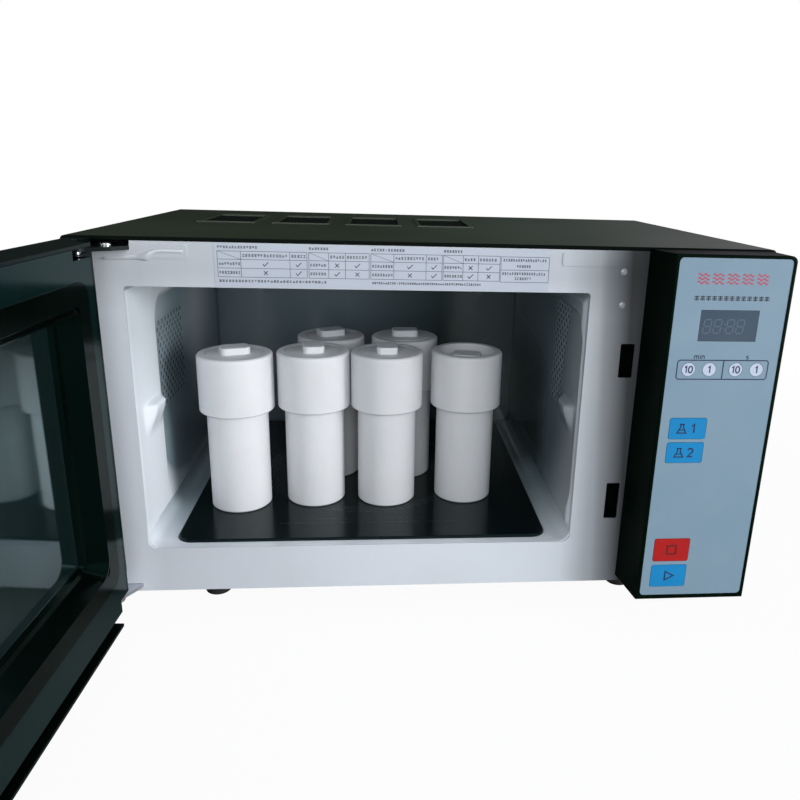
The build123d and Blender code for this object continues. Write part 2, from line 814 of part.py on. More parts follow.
def make_fan_shroud():
    back = rear_y - sheet
    plate = block(fan_x - fan_plate_half, fan_x + fan_plate_half, fan_plate_y,
                  fan_plate_y + fan_plate_thickness, fan_z - fan_plate_half, fan_z + fan_plate_half)
    duct = rod_y(fan_x, fan_z, fan_plate_y, back, fan_duct_radius + fan_duct_wall)
    shroud = plate + duct
    shroud -= rod_y(fan_x, fan_z, fan_plate_y - through, back + through, fan_duct_radius)
    reach = fan_duct_radius + fan_duct_wall / 2
    for turn in (0, 90):
        spoke = Pos(fan_x, fan_plate_y + fan_plate_thickness / 2, fan_z) * Rot(0, turn, 0)
        shroud += spoke * Box(2 * reach, fan_plate_thickness, fan_spoke_width)
    hole = fan_shaft_radius + 1.0
    return shroud - rod_y(fan_x, fan_z, fan_plate_y - through, fan_plate_y + 2 * fan_plate_thickness, hole)


def make_fan_motor():
    wide, deep, tall = fan_motor_size
    y1 = fan_plate_y
    body = block(fan_x - wide / 2, fan_x + wide / 2, y1 - deep, y1, fan_z - tall / 2, fan_z + tall / 2)
    coil_z = fan_z - tall / 2
    coil = Pos(fan_x, y1 - deep / 2 - 2, coil_z) * Rot(0, 90, 0) * Cylinder(fan_coil_radius, fan_coil_length)
    coil &= block(fan_x - wide, fan_x + wide, y1 - 2 * deep, y1, coil_z - tall, coil_z + tall)
    shaft_end = fan_plate_y + fan_plate_thickness + fan_start_gap + fan_hub_length - 2.0
    return body + coil + rod_y(fan_x, fan_z, y1, shaft_end, fan_shaft_radius)


def make_fan_rotor():
    y0 = fan_plate_y + fan_plate_thickness + fan_start_gap
    rotor = rod_y(fan_x, fan_z, y0, y0 + fan_hub_length, fan_hub_radius)
    tip = fan_duct_radius - fan_tip_gap
    middle = (fan_hub_radius + tip) / 2
    for blade in range(fan_blade_count):
        paddle = Pos(middle, 0, 0) * Rot(fan_blade_pitch_deg, 0, 0) * Box(
            tip - fan_hub_radius + 2, fan_blade_thickness, fan_blade_chord)
        turn = Rot(0, blade * 360 / fan_blade_count, 0)
        rotor += Pos(fan_x, y0 + fan_hub_length / 2, fan_z) * turn * paddle
    rotor &= rod_y(fan_x, fan_z, y0 - fan_hub_length, y0 + 2 * fan_hub_length, tip)
    bore = rod_y(fan_x, fan_z, y0 - through, y0 + fan_hub_length - 1.0, fan_shaft_radius + running_clearance)
    return rotor - bore


# Control panel


def panel_outline(inset, y_front, y_back):
    """The housing's solid, drawn in by inset: its left and lower sides slant to the front."""
    def section(y):
        share = (y + panel_depth) / panel_depth
        left = panel_left_front + (panel_left_back - panel_left_front) * share + inset
        low = panel_bottom_front + (panel_bottom_back - panel_bottom_front) * share + inset
        right, top = half_width - inset, panel_top - inset
        points = [(left, y, low), (right, y, low), (right, y, top), (left, y, top)]
        return make_face(Polyline(*points, close=True))
    return loft([section(y_front), section(y_back)])


def key_shapes():
    """Each key's centre and outline half sizes on the panel's face."""
    shapes = {}
    for name, across in round_keys.items():
        shapes[name] = (panel_left_front + across, panel_top - round_key_drop, None, None)
    x = panel_left_front + wide_key_left + wide_key_width / 2
    for name, (drop, tall) in program_keys.items():
        shapes[name] = (x, panel_top - drop - tall / 2, wide_key_width / 2, tall / 2)
    for name, (rise, tall) in run_keys.items():
        shapes[name] = (x, panel_bottom_front + rise + tall / 2, wide_key_width / 2, tall / 2)
    return shapes


def key_prism(shape, grow, y0, y1):
    x, z, half_wide, half_tall = shape
    if half_wide is None:
        return rod_y(x, z, y0, y1, round_key_radius + grow)
    return rounded(x - half_wide - grow, x + half_wide + grow, y0, y1, z - half_tall - grow,
                   z + half_tall + grow, key_corner + grow, Axis.Y)


def display_block(grow, y0, y1):
    x0 = panel_left_front + display_left
    z1 = panel_top - display_drop
    wide, tall = display_size
    return block(x0 - grow, x0 + wide + grow, y0, y1, z1 - tall - grow, z1 + grow)


def board_box():
    x0, x1 = panel_left_front + board_margin, half_width - board_margin
    return x0, x1, panel_bottom_back + board_margin, panel_top - board_margin


def board_posts(y0, y1):
    _, x1, z0, z1 = board_box()
    columns = (panel_left_front + board_post_left, x1 - board_post_inset)
    return [rod_y(x, z, y0, y1, board_post_radius)
            for x in columns for z in (z0 + board_post_inset, z1 - board_post_inset)]


def make_panel_housing():
    back = -seat_gap
    housing = panel_outline(0, -panel_depth, back)
    top_right = housing.edges().sort_by(lambda edge: (edge @ 0.5).X + (edge @ 0.5).Z)[-1]
    housing = fillet(top_right, panel_top_corner)
    front_edges = housing.faces().sort_by(Axis.Y)[0].edges()
    housing = fillet(front_edges, panel_corner / 2)
    housing -= panel_outline(panel_wall, -panel_depth + panel_wall, 2 * through)
    housing -= rounded(overlay_x0 - overlay_gap, overlay_x1 + overlay_gap, -panel_depth - through,
                       overlay_back_y, overlay_z0 - overlay_gap, overlay_z1 + overlay_gap,
                       overlay_corner, Axis.Y)
    housing -= display_block(-display_ledge, -panel_depth - through, front_wall_back_y + through)
    for shape in key_shapes().values():
        housing -= key_prism(shape, key_gap, -panel_depth - through, front_wall_back_y + through)
    return housing + board_posts(front_wall_back_y - through, board_face_y - seat_gap)


def make_panel_overlay():
    overlay = rounded(overlay_x0, overlay_x1, overlay_face_y, overlay_back_y, overlay_z0,
                      overlay_z1, overlay_corner, Axis.Y)
    overlay -= display_block(overlay_gap, overlay_face_y - through, 0)
    for shape in key_shapes().values():
        overlay -= key_prism(shape, key_gap, overlay_face_y - through, 0)
    return overlay


def make_key(shape):
    x, z = shape[0], shape[1]
    key = key_prism(shape, 0, key_face_y, key_flange_y)
    key += key_prism(shape, key_flange, key_flange_y, key_flange_y + key_flange_thickness)
    stem_end = switch_face_y - seat_gap - key_travel
    return key + rod_y(x, z, key_flange_y, stem_end, key_stem_radius)


def make_control_board():
    x0, x1, z0, z1 = board_box()
    back = board_face_y + board_thickness
    board = block(x0, x1, board_face_y, back, z0, z1)
    for x, z, _, _ in key_shapes().values():
        board += Pos(x, (switch_face_y + board_face_y) / 2, z) * Box(
            switch_size, board_face_y - switch_face_y, switch_size)
    board += display_block(display_module_margin, front_wall_back_y + seat_gap, board_face_y)
    wide, deep, tall = relay_size
    middle = (x0 + x1) / 2
    for drop in relay_drops:
        z = panel_top - drop
        board += block(middle - wide / 2, middle + wide / 2, back, back + deep, z - tall / 2, z + tall / 2)
    return board


# Door, modelled closed


def door_profile():
    """Plan outline of the door frame: a thin rounded hinge end, and a free edge that
    slants alongside the control panel."""
    r = door_front_corner
    left, front = door_left, door_front
    back_corner = hinge_end_back - hinge_end_chamfer
    sketch = make_face(Polyline(
        (left, back_corner), (left, front + r), (left + r, front),
        (door_right_front, front), (door_right_back, door_inner),
        (hinge_end_right, door_inner), (hinge_end_right, hinge_end_back),
        (left + hinge_end_chamfer, hinge_end_back), close=True,
    ))
    sketch += Pos(left + r, front + r) * Circle(r)
    frame = Pos(0, 0, door_bottom) * extrude(sketch, door_top - door_bottom)
    level = frame.edges().filter_by(Plane.XY).group_by(Axis.Y)[0]
    return fillet(level, door_edge_round)


def door_inside():
    """The hollow behind the door's front wall."""
    wall = door_wall
    right_front = door_right_front - wall
    right_back = door_right_back - wall
    points = [
        (hinge_end_right + wall, door_front + wall), (right_front, door_front + wall),
        (right_back, door_inner + through), (hinge_end_right + wall, door_inner + through),
    ]
    return outline_z(points, door_bottom + wall, door_top - wall)


def hinge_notches():
    """Room in the door's hinge end for the arms of the cabinet's brackets."""
    right = hinge_end_right + hinge_cut_length
    front = door_front + door_wall
    top = upper_arm_z + hinge_arm_thickness + screw_head_height + seat_gap
    return [
        block(door_left - through, right, front, through, upper_arm_z - hinge_arm_gap, top),
        block(door_left - through, lower_notch_right, front, through, door_bottom - through,
              lower_notch_top),
    ]


def glass_block(grow, y0, y1):
    return rounded(glass_left - grow, glass_right + grow, y0, y1, glass_bottom - grow,
                   glass_top + grow, glass_corner, Axis.Y)


def handle_feet():
    return [(handle_bottom, handle_bottom + handle_width), (handle_top - handle_width, handle_top)]


def make_door_panel():
    panel = door_profile() - door_inside()
    glass_back = door_front + glass_recess + glass_thickness
    boss = glass_block(glass_ledge, door_front + door_wall / 2, glass_back + door_wall)
    panel += boss
    panel -= glass_block(glass_gap, door_front - through, glass_back)
    panel -= glass_block(-glass_ledge, door_front - through, glass_back + 2 * door_wall)
    panel -= hinge_notches()
    panel -= rod_z(pin_x, pin_y, door_bottom - through, door_top + through,
                   pin_radius + running_clearance)
    panel += spring_shelf_block(0)
    for low, high in handle_feet():
        middle = (low + high) / 2
        panel -= rod_y(handle_x, middle, door_front - through, door_front + 2 * door_wall,
                       screw_radius + screw_hole_gap)
    return panel


def spring_shelf_block(grow):
    """The shelf on the free edge's wall that the latch spring pushes against."""
    low = spring_seat_z() + spring_length
    return block(latch_x - spring_shelf_reach - grow, door_right_back - door_wall / 2,
                 latch_bar_front - 2, latch_bar_back + grow, low - grow, low + spring_shelf + grow)


def make_door_glass():
    y0 = door_front + glass_recess
    return glass_block(0, y0, y0 + glass_thickness)


def make_door_handle():
    front = door_front - handle_reach
    x0, x1 = handle_x - handle_width / 2, handle_x + handle_width / 2
    bar = rounded(x0, x1, front, front + handle_grip, handle_bottom, handle_top, handle_corner, Axis.Z)
    for low, high in handle_feet():
        bar += rounded(x0 + 1, x1 - 1, front + handle_grip / 2, door_front, low, high, 2.0, Axis.Y)
        bar += rod_y(handle_x, (low + high) / 2, door_front, door_front + door_wall, screw_radius)
    return bar


def ring_block(inset, y0, y1):
    radius = max(ring_corner - inset / 2, 2.0)
    return rounded(ring_left + inset, ring_right - inset, y0, y1, ring_bottom + inset,
                   ring_top - inset, radius, Axis.Y)


def funnel(wall):
    """The stepped recess inside the choke ring, grown outwards by wall."""
    recess = Part()
    for (inset, depth), (next_inset, next_depth) in zip(funnel_steps, funnel_steps[1:]):
        x0, x1 = ring_left + inset - wall, ring_right - inset + wall
        z0, z1 = ring_bottom + inset - wall, ring_top - inset + wall
        plane = Plane(origin=((x0 + x1) / 2, ring_face_y - depth, (z0 + z1) / 2),
                      x_dir=(1, 0, 0), z_dir=(0, -1, 0))
        radius = funnel_corner - (inset - funnel_steps[0][0]) + wall
        step = next_depth - depth
        slope = math.degrees(math.atan2(next_inset - inset, step))
        recess += extrude(plane * RectangleRounded(x1 - x0, z1 - z0, radius), step, taper=slope)
    return recess


def make_choke_frame():
    front = door_inner - inner_sheet
    left = hinge_end_right + door_wall + seat_gap
    low, high = inner_bottom, inner_top - seat_gap
    right = door_right_back - door_wall - seat_gap
    frame = block(left, right, front - inner_return, door_inner, low, high)
    frame -= block(left + inner_sheet, right - inner_sheet, front - inner_return - through, front,
                   low + inner_sheet, high - inner_sheet)
    frame -= ring_block(funnel_steps[0][0] - funnel_wall - seat_gap, front - through,
                        door_inner + through)
    frame -= hinge_notches()
    frame -= spring_shelf_block(seat_gap)
    for low, high in latch_slots:
        middle = hook_middle(low, high)
        half = hook_height / 2 + hook_slot_gap
        frame -= block(latch_x - hook_thickness / 2 - hook_slot_gap,
                       latch_x + hook_thickness / 2 + hook_slot_gap, front - inner_return - through,
                       door_inner + through, middle - half - hook_barb, middle + half + latch_rise)
    return frame


def make_choke_cover():
    cover = ring_block(0, door_inner, ring_face_y) - ring_block(ring_band, door_inner - through,
                                                                ring_face_y + through)
    return cover + (funnel(funnel_wall) - funnel(0))


def make_inner_window():
    inset, depth = funnel_steps[-1]
    face = ring_face_y - depth
    return ring_block(inset - screen_margin, face - screen_thickness, face)


def hook_middle(low, high):
    """Height of a hook at rest, low in its slot so that it can rise."""
    return (low + high) / 2 - latch_rise / 2 + hook_barb / 2


def spring_seat_z():
    return hook_middle(*latch_slots[1]) + hook_height / 2 + hook_foot


def make_latch_hooks():
    x0, x1 = latch_x - hook_thickness / 2, latch_x + hook_thickness / 2
    low = hook_middle(*latch_slots[0]) - hook_height / 2 - hook_foot
    latch = block(x0, x1, latch_bar_front, latch_bar_back, low, spring_seat_z())
    for slot in latch_slots:
        middle = hook_middle(*slot)
        z0, z1 = middle - hook_height / 2, middle + hook_height / 2
        latch += block(x0, x1, latch_bar_front, hook_reach, z0, z1)
        tip = block(x0, x1, hook_reach - hook_barb_length, hook_reach, z0 - hook_barb, z0)
        tip = chamfer(tip.edges().filter_by(Axis.X).group_by(Axis.Z)[0].sort_by(Axis.Y)[-1], hook_barb * 0.7)
        latch += tip
    return latch


def make_latch_spring():
    middle_y = (latch_bar_front + latch_bar_back) / 2
    low = spring_seat_z() + seat_gap + spring_wire
    high = spring_seat_z() + spring_length - seat_gap - spring_wire
    rise = high - low
    path = Helix(pitch=rise / spring_turns, height=rise, radius=spring_radius)
    section = Plane(origin=path @ 0, z_dir=path % 0) * Circle(spring_wire)
    coil = sweep(section, path=path, is_frenet=True)
    return Pos(latch_x, middle_y, low) * coil


def hinge_arm(z, right, shoulder):
    """One bracket: an arm out to the pin and a leg behind the front frame."""
    top = z + hinge_arm_thickness
    elbow = pin_y / 2
    arm = outline_z([
        (right, cavity_front + hinge_arm_thickness), (right, -2.0), *shoulder,
        (pin_x + 2, pin_y - hinge_arm_radius / 2),
        (pin_x - hinge_arm_radius, pin_y), (hinge_arm_left + 2, elbow),
        (hinge_arm_left, cavity_front + hinge_arm_thickness),
    ], z, top)
    arm += rod_z(pin_x, pin_y, z, top, hinge_arm_radius)
    inward = -1 if z > door_middle_z else 1
    leg_end = z + inward * hinge_leg_drop
    arm += block(hinge_arm_left, right, cavity_front,
                 cavity_front + hinge_arm_thickness, min(leg_end, z), max(leg_end, top))
    return arm - rod_z(pin_x, pin_y, z - through, top + through, pin_radius)


def make_hinge_brackets():
    upper = hinge_arm(upper_arm_z, upper_arm_right, [(stop_screw_x + 5, pin_y / 2 - 3)])
    hole_z = (upper_arm_z, upper_arm_z + 2 * hinge_arm_thickness)
    upper -= rod_z(stop_screw_x, stop_screw_y, hole_z[0] - through, hole_z[1],
                   screw_radius + screw_hole_gap)
    return [upper, hinge_arm(lower_arm_z, lower_arm_right, [])]


def make_hinge_pins():
    upper = rod_z(pin_x, pin_y, upper_arm_z - hinge_boss, door_top - seat_gap, pin_radius)
    lower = rod_z(pin_x, pin_y, lower_arm_z, lower_notch_top + hinge_boss, pin_radius)
    lower += rod_z(pin_x, pin_y, lower_arm_z + hinge_arm_thickness, lower_notch_top - seat_gap,
                   hinge_collar_radius)
    return [upper, lower]


def interlock_teeth():
    """Heights of the blocks that stand below, between and above the latch slots."""
    levels = [latch_slots[0][0] - interlock_end]
    for low, high in latch_slots:
        levels += [low - board_pocket_gap, high + board_pocket_gap]
    levels.append(latch_slots[1][1] + interlock_end)
    return list(zip(levels[0::2], levels[1::2]))


def make_interlock_block():
    teeth = interlock_teeth()
    half = interlock_width / 2
    back = cavity_front + interlock_depth
    body = block(latch_x - half, latch_x + half, back - interlock_wall, back, teeth[0][0], teeth[-1][1])
    for low, high in teeth:
        body += block(latch_x - half, latch_x + half, cavity_front, back, low, high)
    wide, deep, tall = switch_block
    for slot in latch_slots:
        middle = sum(slot) / 2
        body += block(latch_x - wide / 2, latch_x + wide / 2, back, back + deep, middle - tall / 2,
                      middle + tall / 2)
    return body


def make_usage_label():
    return block(label_left, label_right, -label_thickness, rest_contact, label_bottom, label_top)


def make_cord_gland():
    outer_y = rear_y + seat_gap
    gland = rod_y(gland_x, gland_z, rear_y - gland_length, outer_y + gland_flange, gland_hole_radius - screw_hole_gap)
    flange = rod_y(gland_x, gland_z, outer_y, outer_y + gland_flange, gland_flange_radius)
    gland += fillet(flange.edges().group_by(Axis.Y)[-1], gland_flange / 2)
    nut_y = rear_y - sheet - seat_gap
    gland += rod_y(gland_x, gland_z, nut_y - gland_flange, nut_y, gland_nut_radius)
    return gland - rod_y(gland_x, gland_z, rear_y - 2 * gland_length, cabinet_depth + gland_length,
                         gland_bore_radius)


# Vessels


def make_vessel_body(x, y):
    body = rod_z(x, y, plate_top, plate_top + vessel_height, vessel_radius)
    body = chamfer(body.edges().group_by(Axis.Z)[0], vessel_edge)
    return body - rod_z(x, y, plate_top + vessel_floor, plate_top + vessel_height + through, vessel_bore)


def make_vessel_lid(x, y, turn, stand_off):
    top = plate_top + vessel_height
    shoulder = plate_top + cap_shoulder - seat_gap
    face = plate_top + cap_top - lid_drop + stand_off
    lid = rod_z(x, y, top - lid_plug_length, top + seat_gap, vessel_bore - lid_plug_gap)
    lid += rod_z(x, y, top + seat_gap, shoulder, vessel_radius + running_clearance - lid_flange_gap)
    lid += rod_z(x, y, shoulder, face, cap_mouth - lid_boss_gap)
    grip = Box(grip_size[0], grip_size[1], grip_height)
    grip = fillet(grip.edges().filter_by(Axis.Z), grip_corner)
    grip = fillet(grip.faces().sort_by(Axis.Z)[-1].edges(), grip_edge)
    return lid + Pos(x, y, face + grip_height / 2) * Rot(0, 0, turn) * grip


def make_vessel_cap(x, y):
    cap = rod_z(x, y, plate_top + cap_bottom, plate_top + cap_top, cap_radius)
    cap = fillet(cap.edges().group_by(Axis.Z)[-1], cap_edge)
    cap = chamfer(cap.edges().group_by(Axis.Z)[0], cap_rim_edge)
    cap -= rod_z(x, y, 0, plate_top + cap_shoulder, vessel_radius + running_clearance)
    return cap - rod_z(x, y, 0, plate_top + cap_top + through, cap_mouth)


# Assembly


def cabinet_nodes():
    nodes = {
        "outer_cover": make_outer_cover(),
        "base_plate": make_base_plate(),
        "back_panel": make_back_panel(),
        "front_frame": make_front_frame(),
        "cavity_shell": make_cavity_shell(),
        "ceramic_plate": make_ceramic_plate(),
        "feet": make_feet(),
        "case_screws": make_case_screws(),
        "waveguide": make_waveguide(),
        "stirrer_motor": make_stirrer_motor(),
        "stirrer_antenna": make_stirrer_antenna(),
        "magnetron": make_magnetron(),
        "transformer": make_transformer(),
        "hv_capacitor": make_hv_capacitor(),
        "fan_shroud": make_fan_shroud(),
        "fan_motor": make_fan_motor(),
        "fan_rotor": make_fan_rotor(),
        "panel_housing": make_panel_housing(),
        "panel_overlay": make_panel_overlay(),
        "display_window": display_block(0, overlay_face_y, overlay_back_y),
        "control_board": make_control_board(),
        "hinge_brackets": make_hinge_brackets(),
        "hinge_pins": make_hinge_pins(),
        "interlock_block": make_interlock_block(),
        "usage_label": make_usage_label(),
        "cord_gland": make_cord_gland(),
    }
    for name, shape in key_shapes().items():
        nodes[name] = make_key(shape)
    return nodes


def door_nodes():
    return {
        "door_panel": make_door_panel(),
        "door_glass": make_door_glass(),
        "door_handle": make_door_handle(),
        "choke_frame": make_choke_frame(),
        "choke_cover": make_choke_cover(),
        "inner_window": make_inner_window(),
        "latch_hooks": make_latch_hooks(),
        "latch_spring": make_latch_spring(),
    }


def vessel_nodes():
    nodes = {}
    for number, (x, y, turn, stand_off) in enumerate(vessels, 1):
        nodes[f"vessel_body_{number}"] = make_vessel_body(x, y)
        nodes[f"vessel_lid_{number}"] = make_vessel_lid(x, y, turn, stand_off)
        nodes[f"vessel_cap_{number}"] = make_vessel_cap(x, y)
    return nodes


def write_node(name, shape, swing):
    solids = shape if isinstance(shape, list) else [shape]
    to_origin = Pos(0, -cabinet_depth / 2, 0)
    placed = [to_origin * swing * solid for solid in solids]
    export_step(placed[0] if len(placed) == 1 else Compound(children=placed), f"parts/{name}.step")


def main():
    os.makedirs("parts", exist_ok=True)
    stay = Pos(0, 0, 0)
    open_door = Pos(pin_x, pin_y, 0) * Rot(0, 0, -door_open_deg) * Pos(-pin_x, -pin_y, 0)
    for nodes, swing in ((cabinet_nodes(), stay), (door_nodes(), open_door), (vessel_nodes(), stay)):
        for name, shape in nodes.items():
            write_node(name, shape, swing)


main()
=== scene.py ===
import bpy
import json
import math
import numpy as np
from mathutils import Matrix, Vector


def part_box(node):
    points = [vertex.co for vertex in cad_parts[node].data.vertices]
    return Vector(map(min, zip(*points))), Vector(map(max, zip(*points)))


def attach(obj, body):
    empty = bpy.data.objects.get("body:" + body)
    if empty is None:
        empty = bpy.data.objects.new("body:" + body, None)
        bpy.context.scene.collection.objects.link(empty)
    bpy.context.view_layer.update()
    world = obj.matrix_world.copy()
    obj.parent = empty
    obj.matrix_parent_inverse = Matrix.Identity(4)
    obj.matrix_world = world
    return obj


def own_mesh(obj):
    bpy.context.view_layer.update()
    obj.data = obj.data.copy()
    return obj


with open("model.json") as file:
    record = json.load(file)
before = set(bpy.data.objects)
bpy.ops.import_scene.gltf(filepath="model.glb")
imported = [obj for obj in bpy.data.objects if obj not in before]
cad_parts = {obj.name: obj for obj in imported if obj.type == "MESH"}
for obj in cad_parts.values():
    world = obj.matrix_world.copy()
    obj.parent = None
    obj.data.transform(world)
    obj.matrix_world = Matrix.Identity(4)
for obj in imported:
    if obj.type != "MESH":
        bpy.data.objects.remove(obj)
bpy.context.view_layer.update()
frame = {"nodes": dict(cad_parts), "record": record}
nodes = frame["nodes"]
mm = 0.001
print("stage: frame loaded")


# Shader helpers
def addNode(tree, kind, inputs, **settings):
    node = tree.nodes.new("ShaderNode" + kind)
    for key, value in settings.items():
        setattr(node, key, value)
    for place, value in inputs.items():
        if isinstance(value, bpy.types.NodeSocket):
            tree.links.new(value, node.inputs[place])
        else:
            node.inputs[place].default_value = value
    return node


def math2(tree, operation, a, b):
    return addNode(tree, "Math", {0: a, 1: b}, operation=operation).outputs[0]


def times(tree, a, b):
    return math2(tree, "MULTIPLY", a, b)


def plus(tree, a, b):
    return math2(tree, "ADD", a, b)


def minus(tree, a, b):
    return math2(tree, "SUBTRACT", a, b)


def objectCoord(tree):
    return addNode(tree, "TexCoord", {}).outputs["Object"]


def placeOf(tree):
    return addNode(tree, "SeparateXYZ", {0: objectCoord(tree)}).outputs


def skinOf(mat):
    return mat.node_tree, mat.node_tree.nodes["Principled BSDF"]


def baseOf(mat):
    return mat.node_tree.nodes[mat["colourFrom"]].outputs[2]


def feed(tree, skin, sources):
    for name, source in sources.items():
        tree.links.new(source, skin.inputs[name])


def bumped(tree, height, strength, distance, **under):
    ports = {"Height": height, "Strength": strength, "Distance": distance}
    return addNode(tree, "Bump", {**ports, **under}).outputs[0]


def noise(tree, coord, scale, detail=4.0, stretch=(1, 1, 1)):
    if tuple(stretch) != (1, 1, 1):
        coord = addNode(tree, "Mapping", {"Vector": coord, "Scale": stretch}).outputs[0]
    return addNode(tree, "TexNoise", {"Vector": coord, "Scale": scale, "Detail": detail}).outputs[0]


def spread(tree, value, low, high, start, end):
    ranges = {"Value": value, "From Min": start, "From Max": end, "To Min": low, "To Max": high}
    return addNode(tree, "MapRange", ranges).outputs[0]


def rising(tree, value, start, end):
    return spread(tree, value, 0.0, 1.0, start, end)


def blend(tree, factor, first, second):
    first, second = (v if isinstance(v, bpy.types.NodeSocket) else (*v, 1.0) for v in (first, second))
    return addNode(tree, "Mix", {"Factor": factor, 6: first, 7: second}, data_type="RGBA").outputs[2]


# What a finish has unless it says otherwise, and how every one of them is mixed
usual = {"grain": 900, "bump": 0.00003, "stretch": (1, 1, 1), "dust": 0.15, "metal": 0.0, "coat": 0.0,
         "coatRough": 0.05, "spec": 0.5, "tint": (1, 1, 1)}
mixing = {"detail": (5.0, 3.0, 8.0), "wear": 3.1, "dustRun": (0.5, 0.75), "wearShare": 0.3,
          "roughRun": (0.35, 0.9), "strength": 0.35}


# One finish: a cloudy base, a fine grain in the bump, and a roughness that follows both
def makeFinish(name, look):
    look = {**usual, "dusty": look["shade"], **look}
    mat = bpy.data.materials.new(name)
    mat.use_nodes = True
    tree, skin = skinOf(mat)
    coord = objectCoord(tree)
    cloudy, grainy, worn = mixing["detail"]
    cloud = noise(tree, coord, look["cloud"], cloudy, look["stretch"])
    grain = noise(tree, coord, look["grain"], grainy, look["stretch"])
    wear = noise(tree, coord, look["cloud"] * mixing["wear"], worn)
    colour = blend(tree, rising(tree, cloud, 0.3, 0.7), look["colour"], look["shade"])
    dust = times(tree, rising(tree, wear, *mixing["dustRun"]), look["dust"])
    colour = blend(tree, dust, colour, look["dusty"])
    rough = plus(tree, cloud, times(tree, wear, mixing["wearShare"]))
    rough = spread(tree, rough, *look["rough"], *mixing["roughRun"])
    bump = bumped(tree, grain, mixing["strength"], look["bump"])
    feed(tree, skin, {"Base Color": colour, "Roughness": rough, "Normal": bump})
    for place, key in (("Metallic", "metal"), ("Coat Weight", "coat"), ("Coat Roughness", "coatRough"),
                       ("Specular IOR Level", "spec")):
        skin.inputs[place].default_value = look[key]
    skin.inputs["Specular Tint"].default_value = (*look["tint"], 1)
    mat["bumpNode"] = bump.node.name
    mat["colourFrom"] = colour.node.name
    return mat


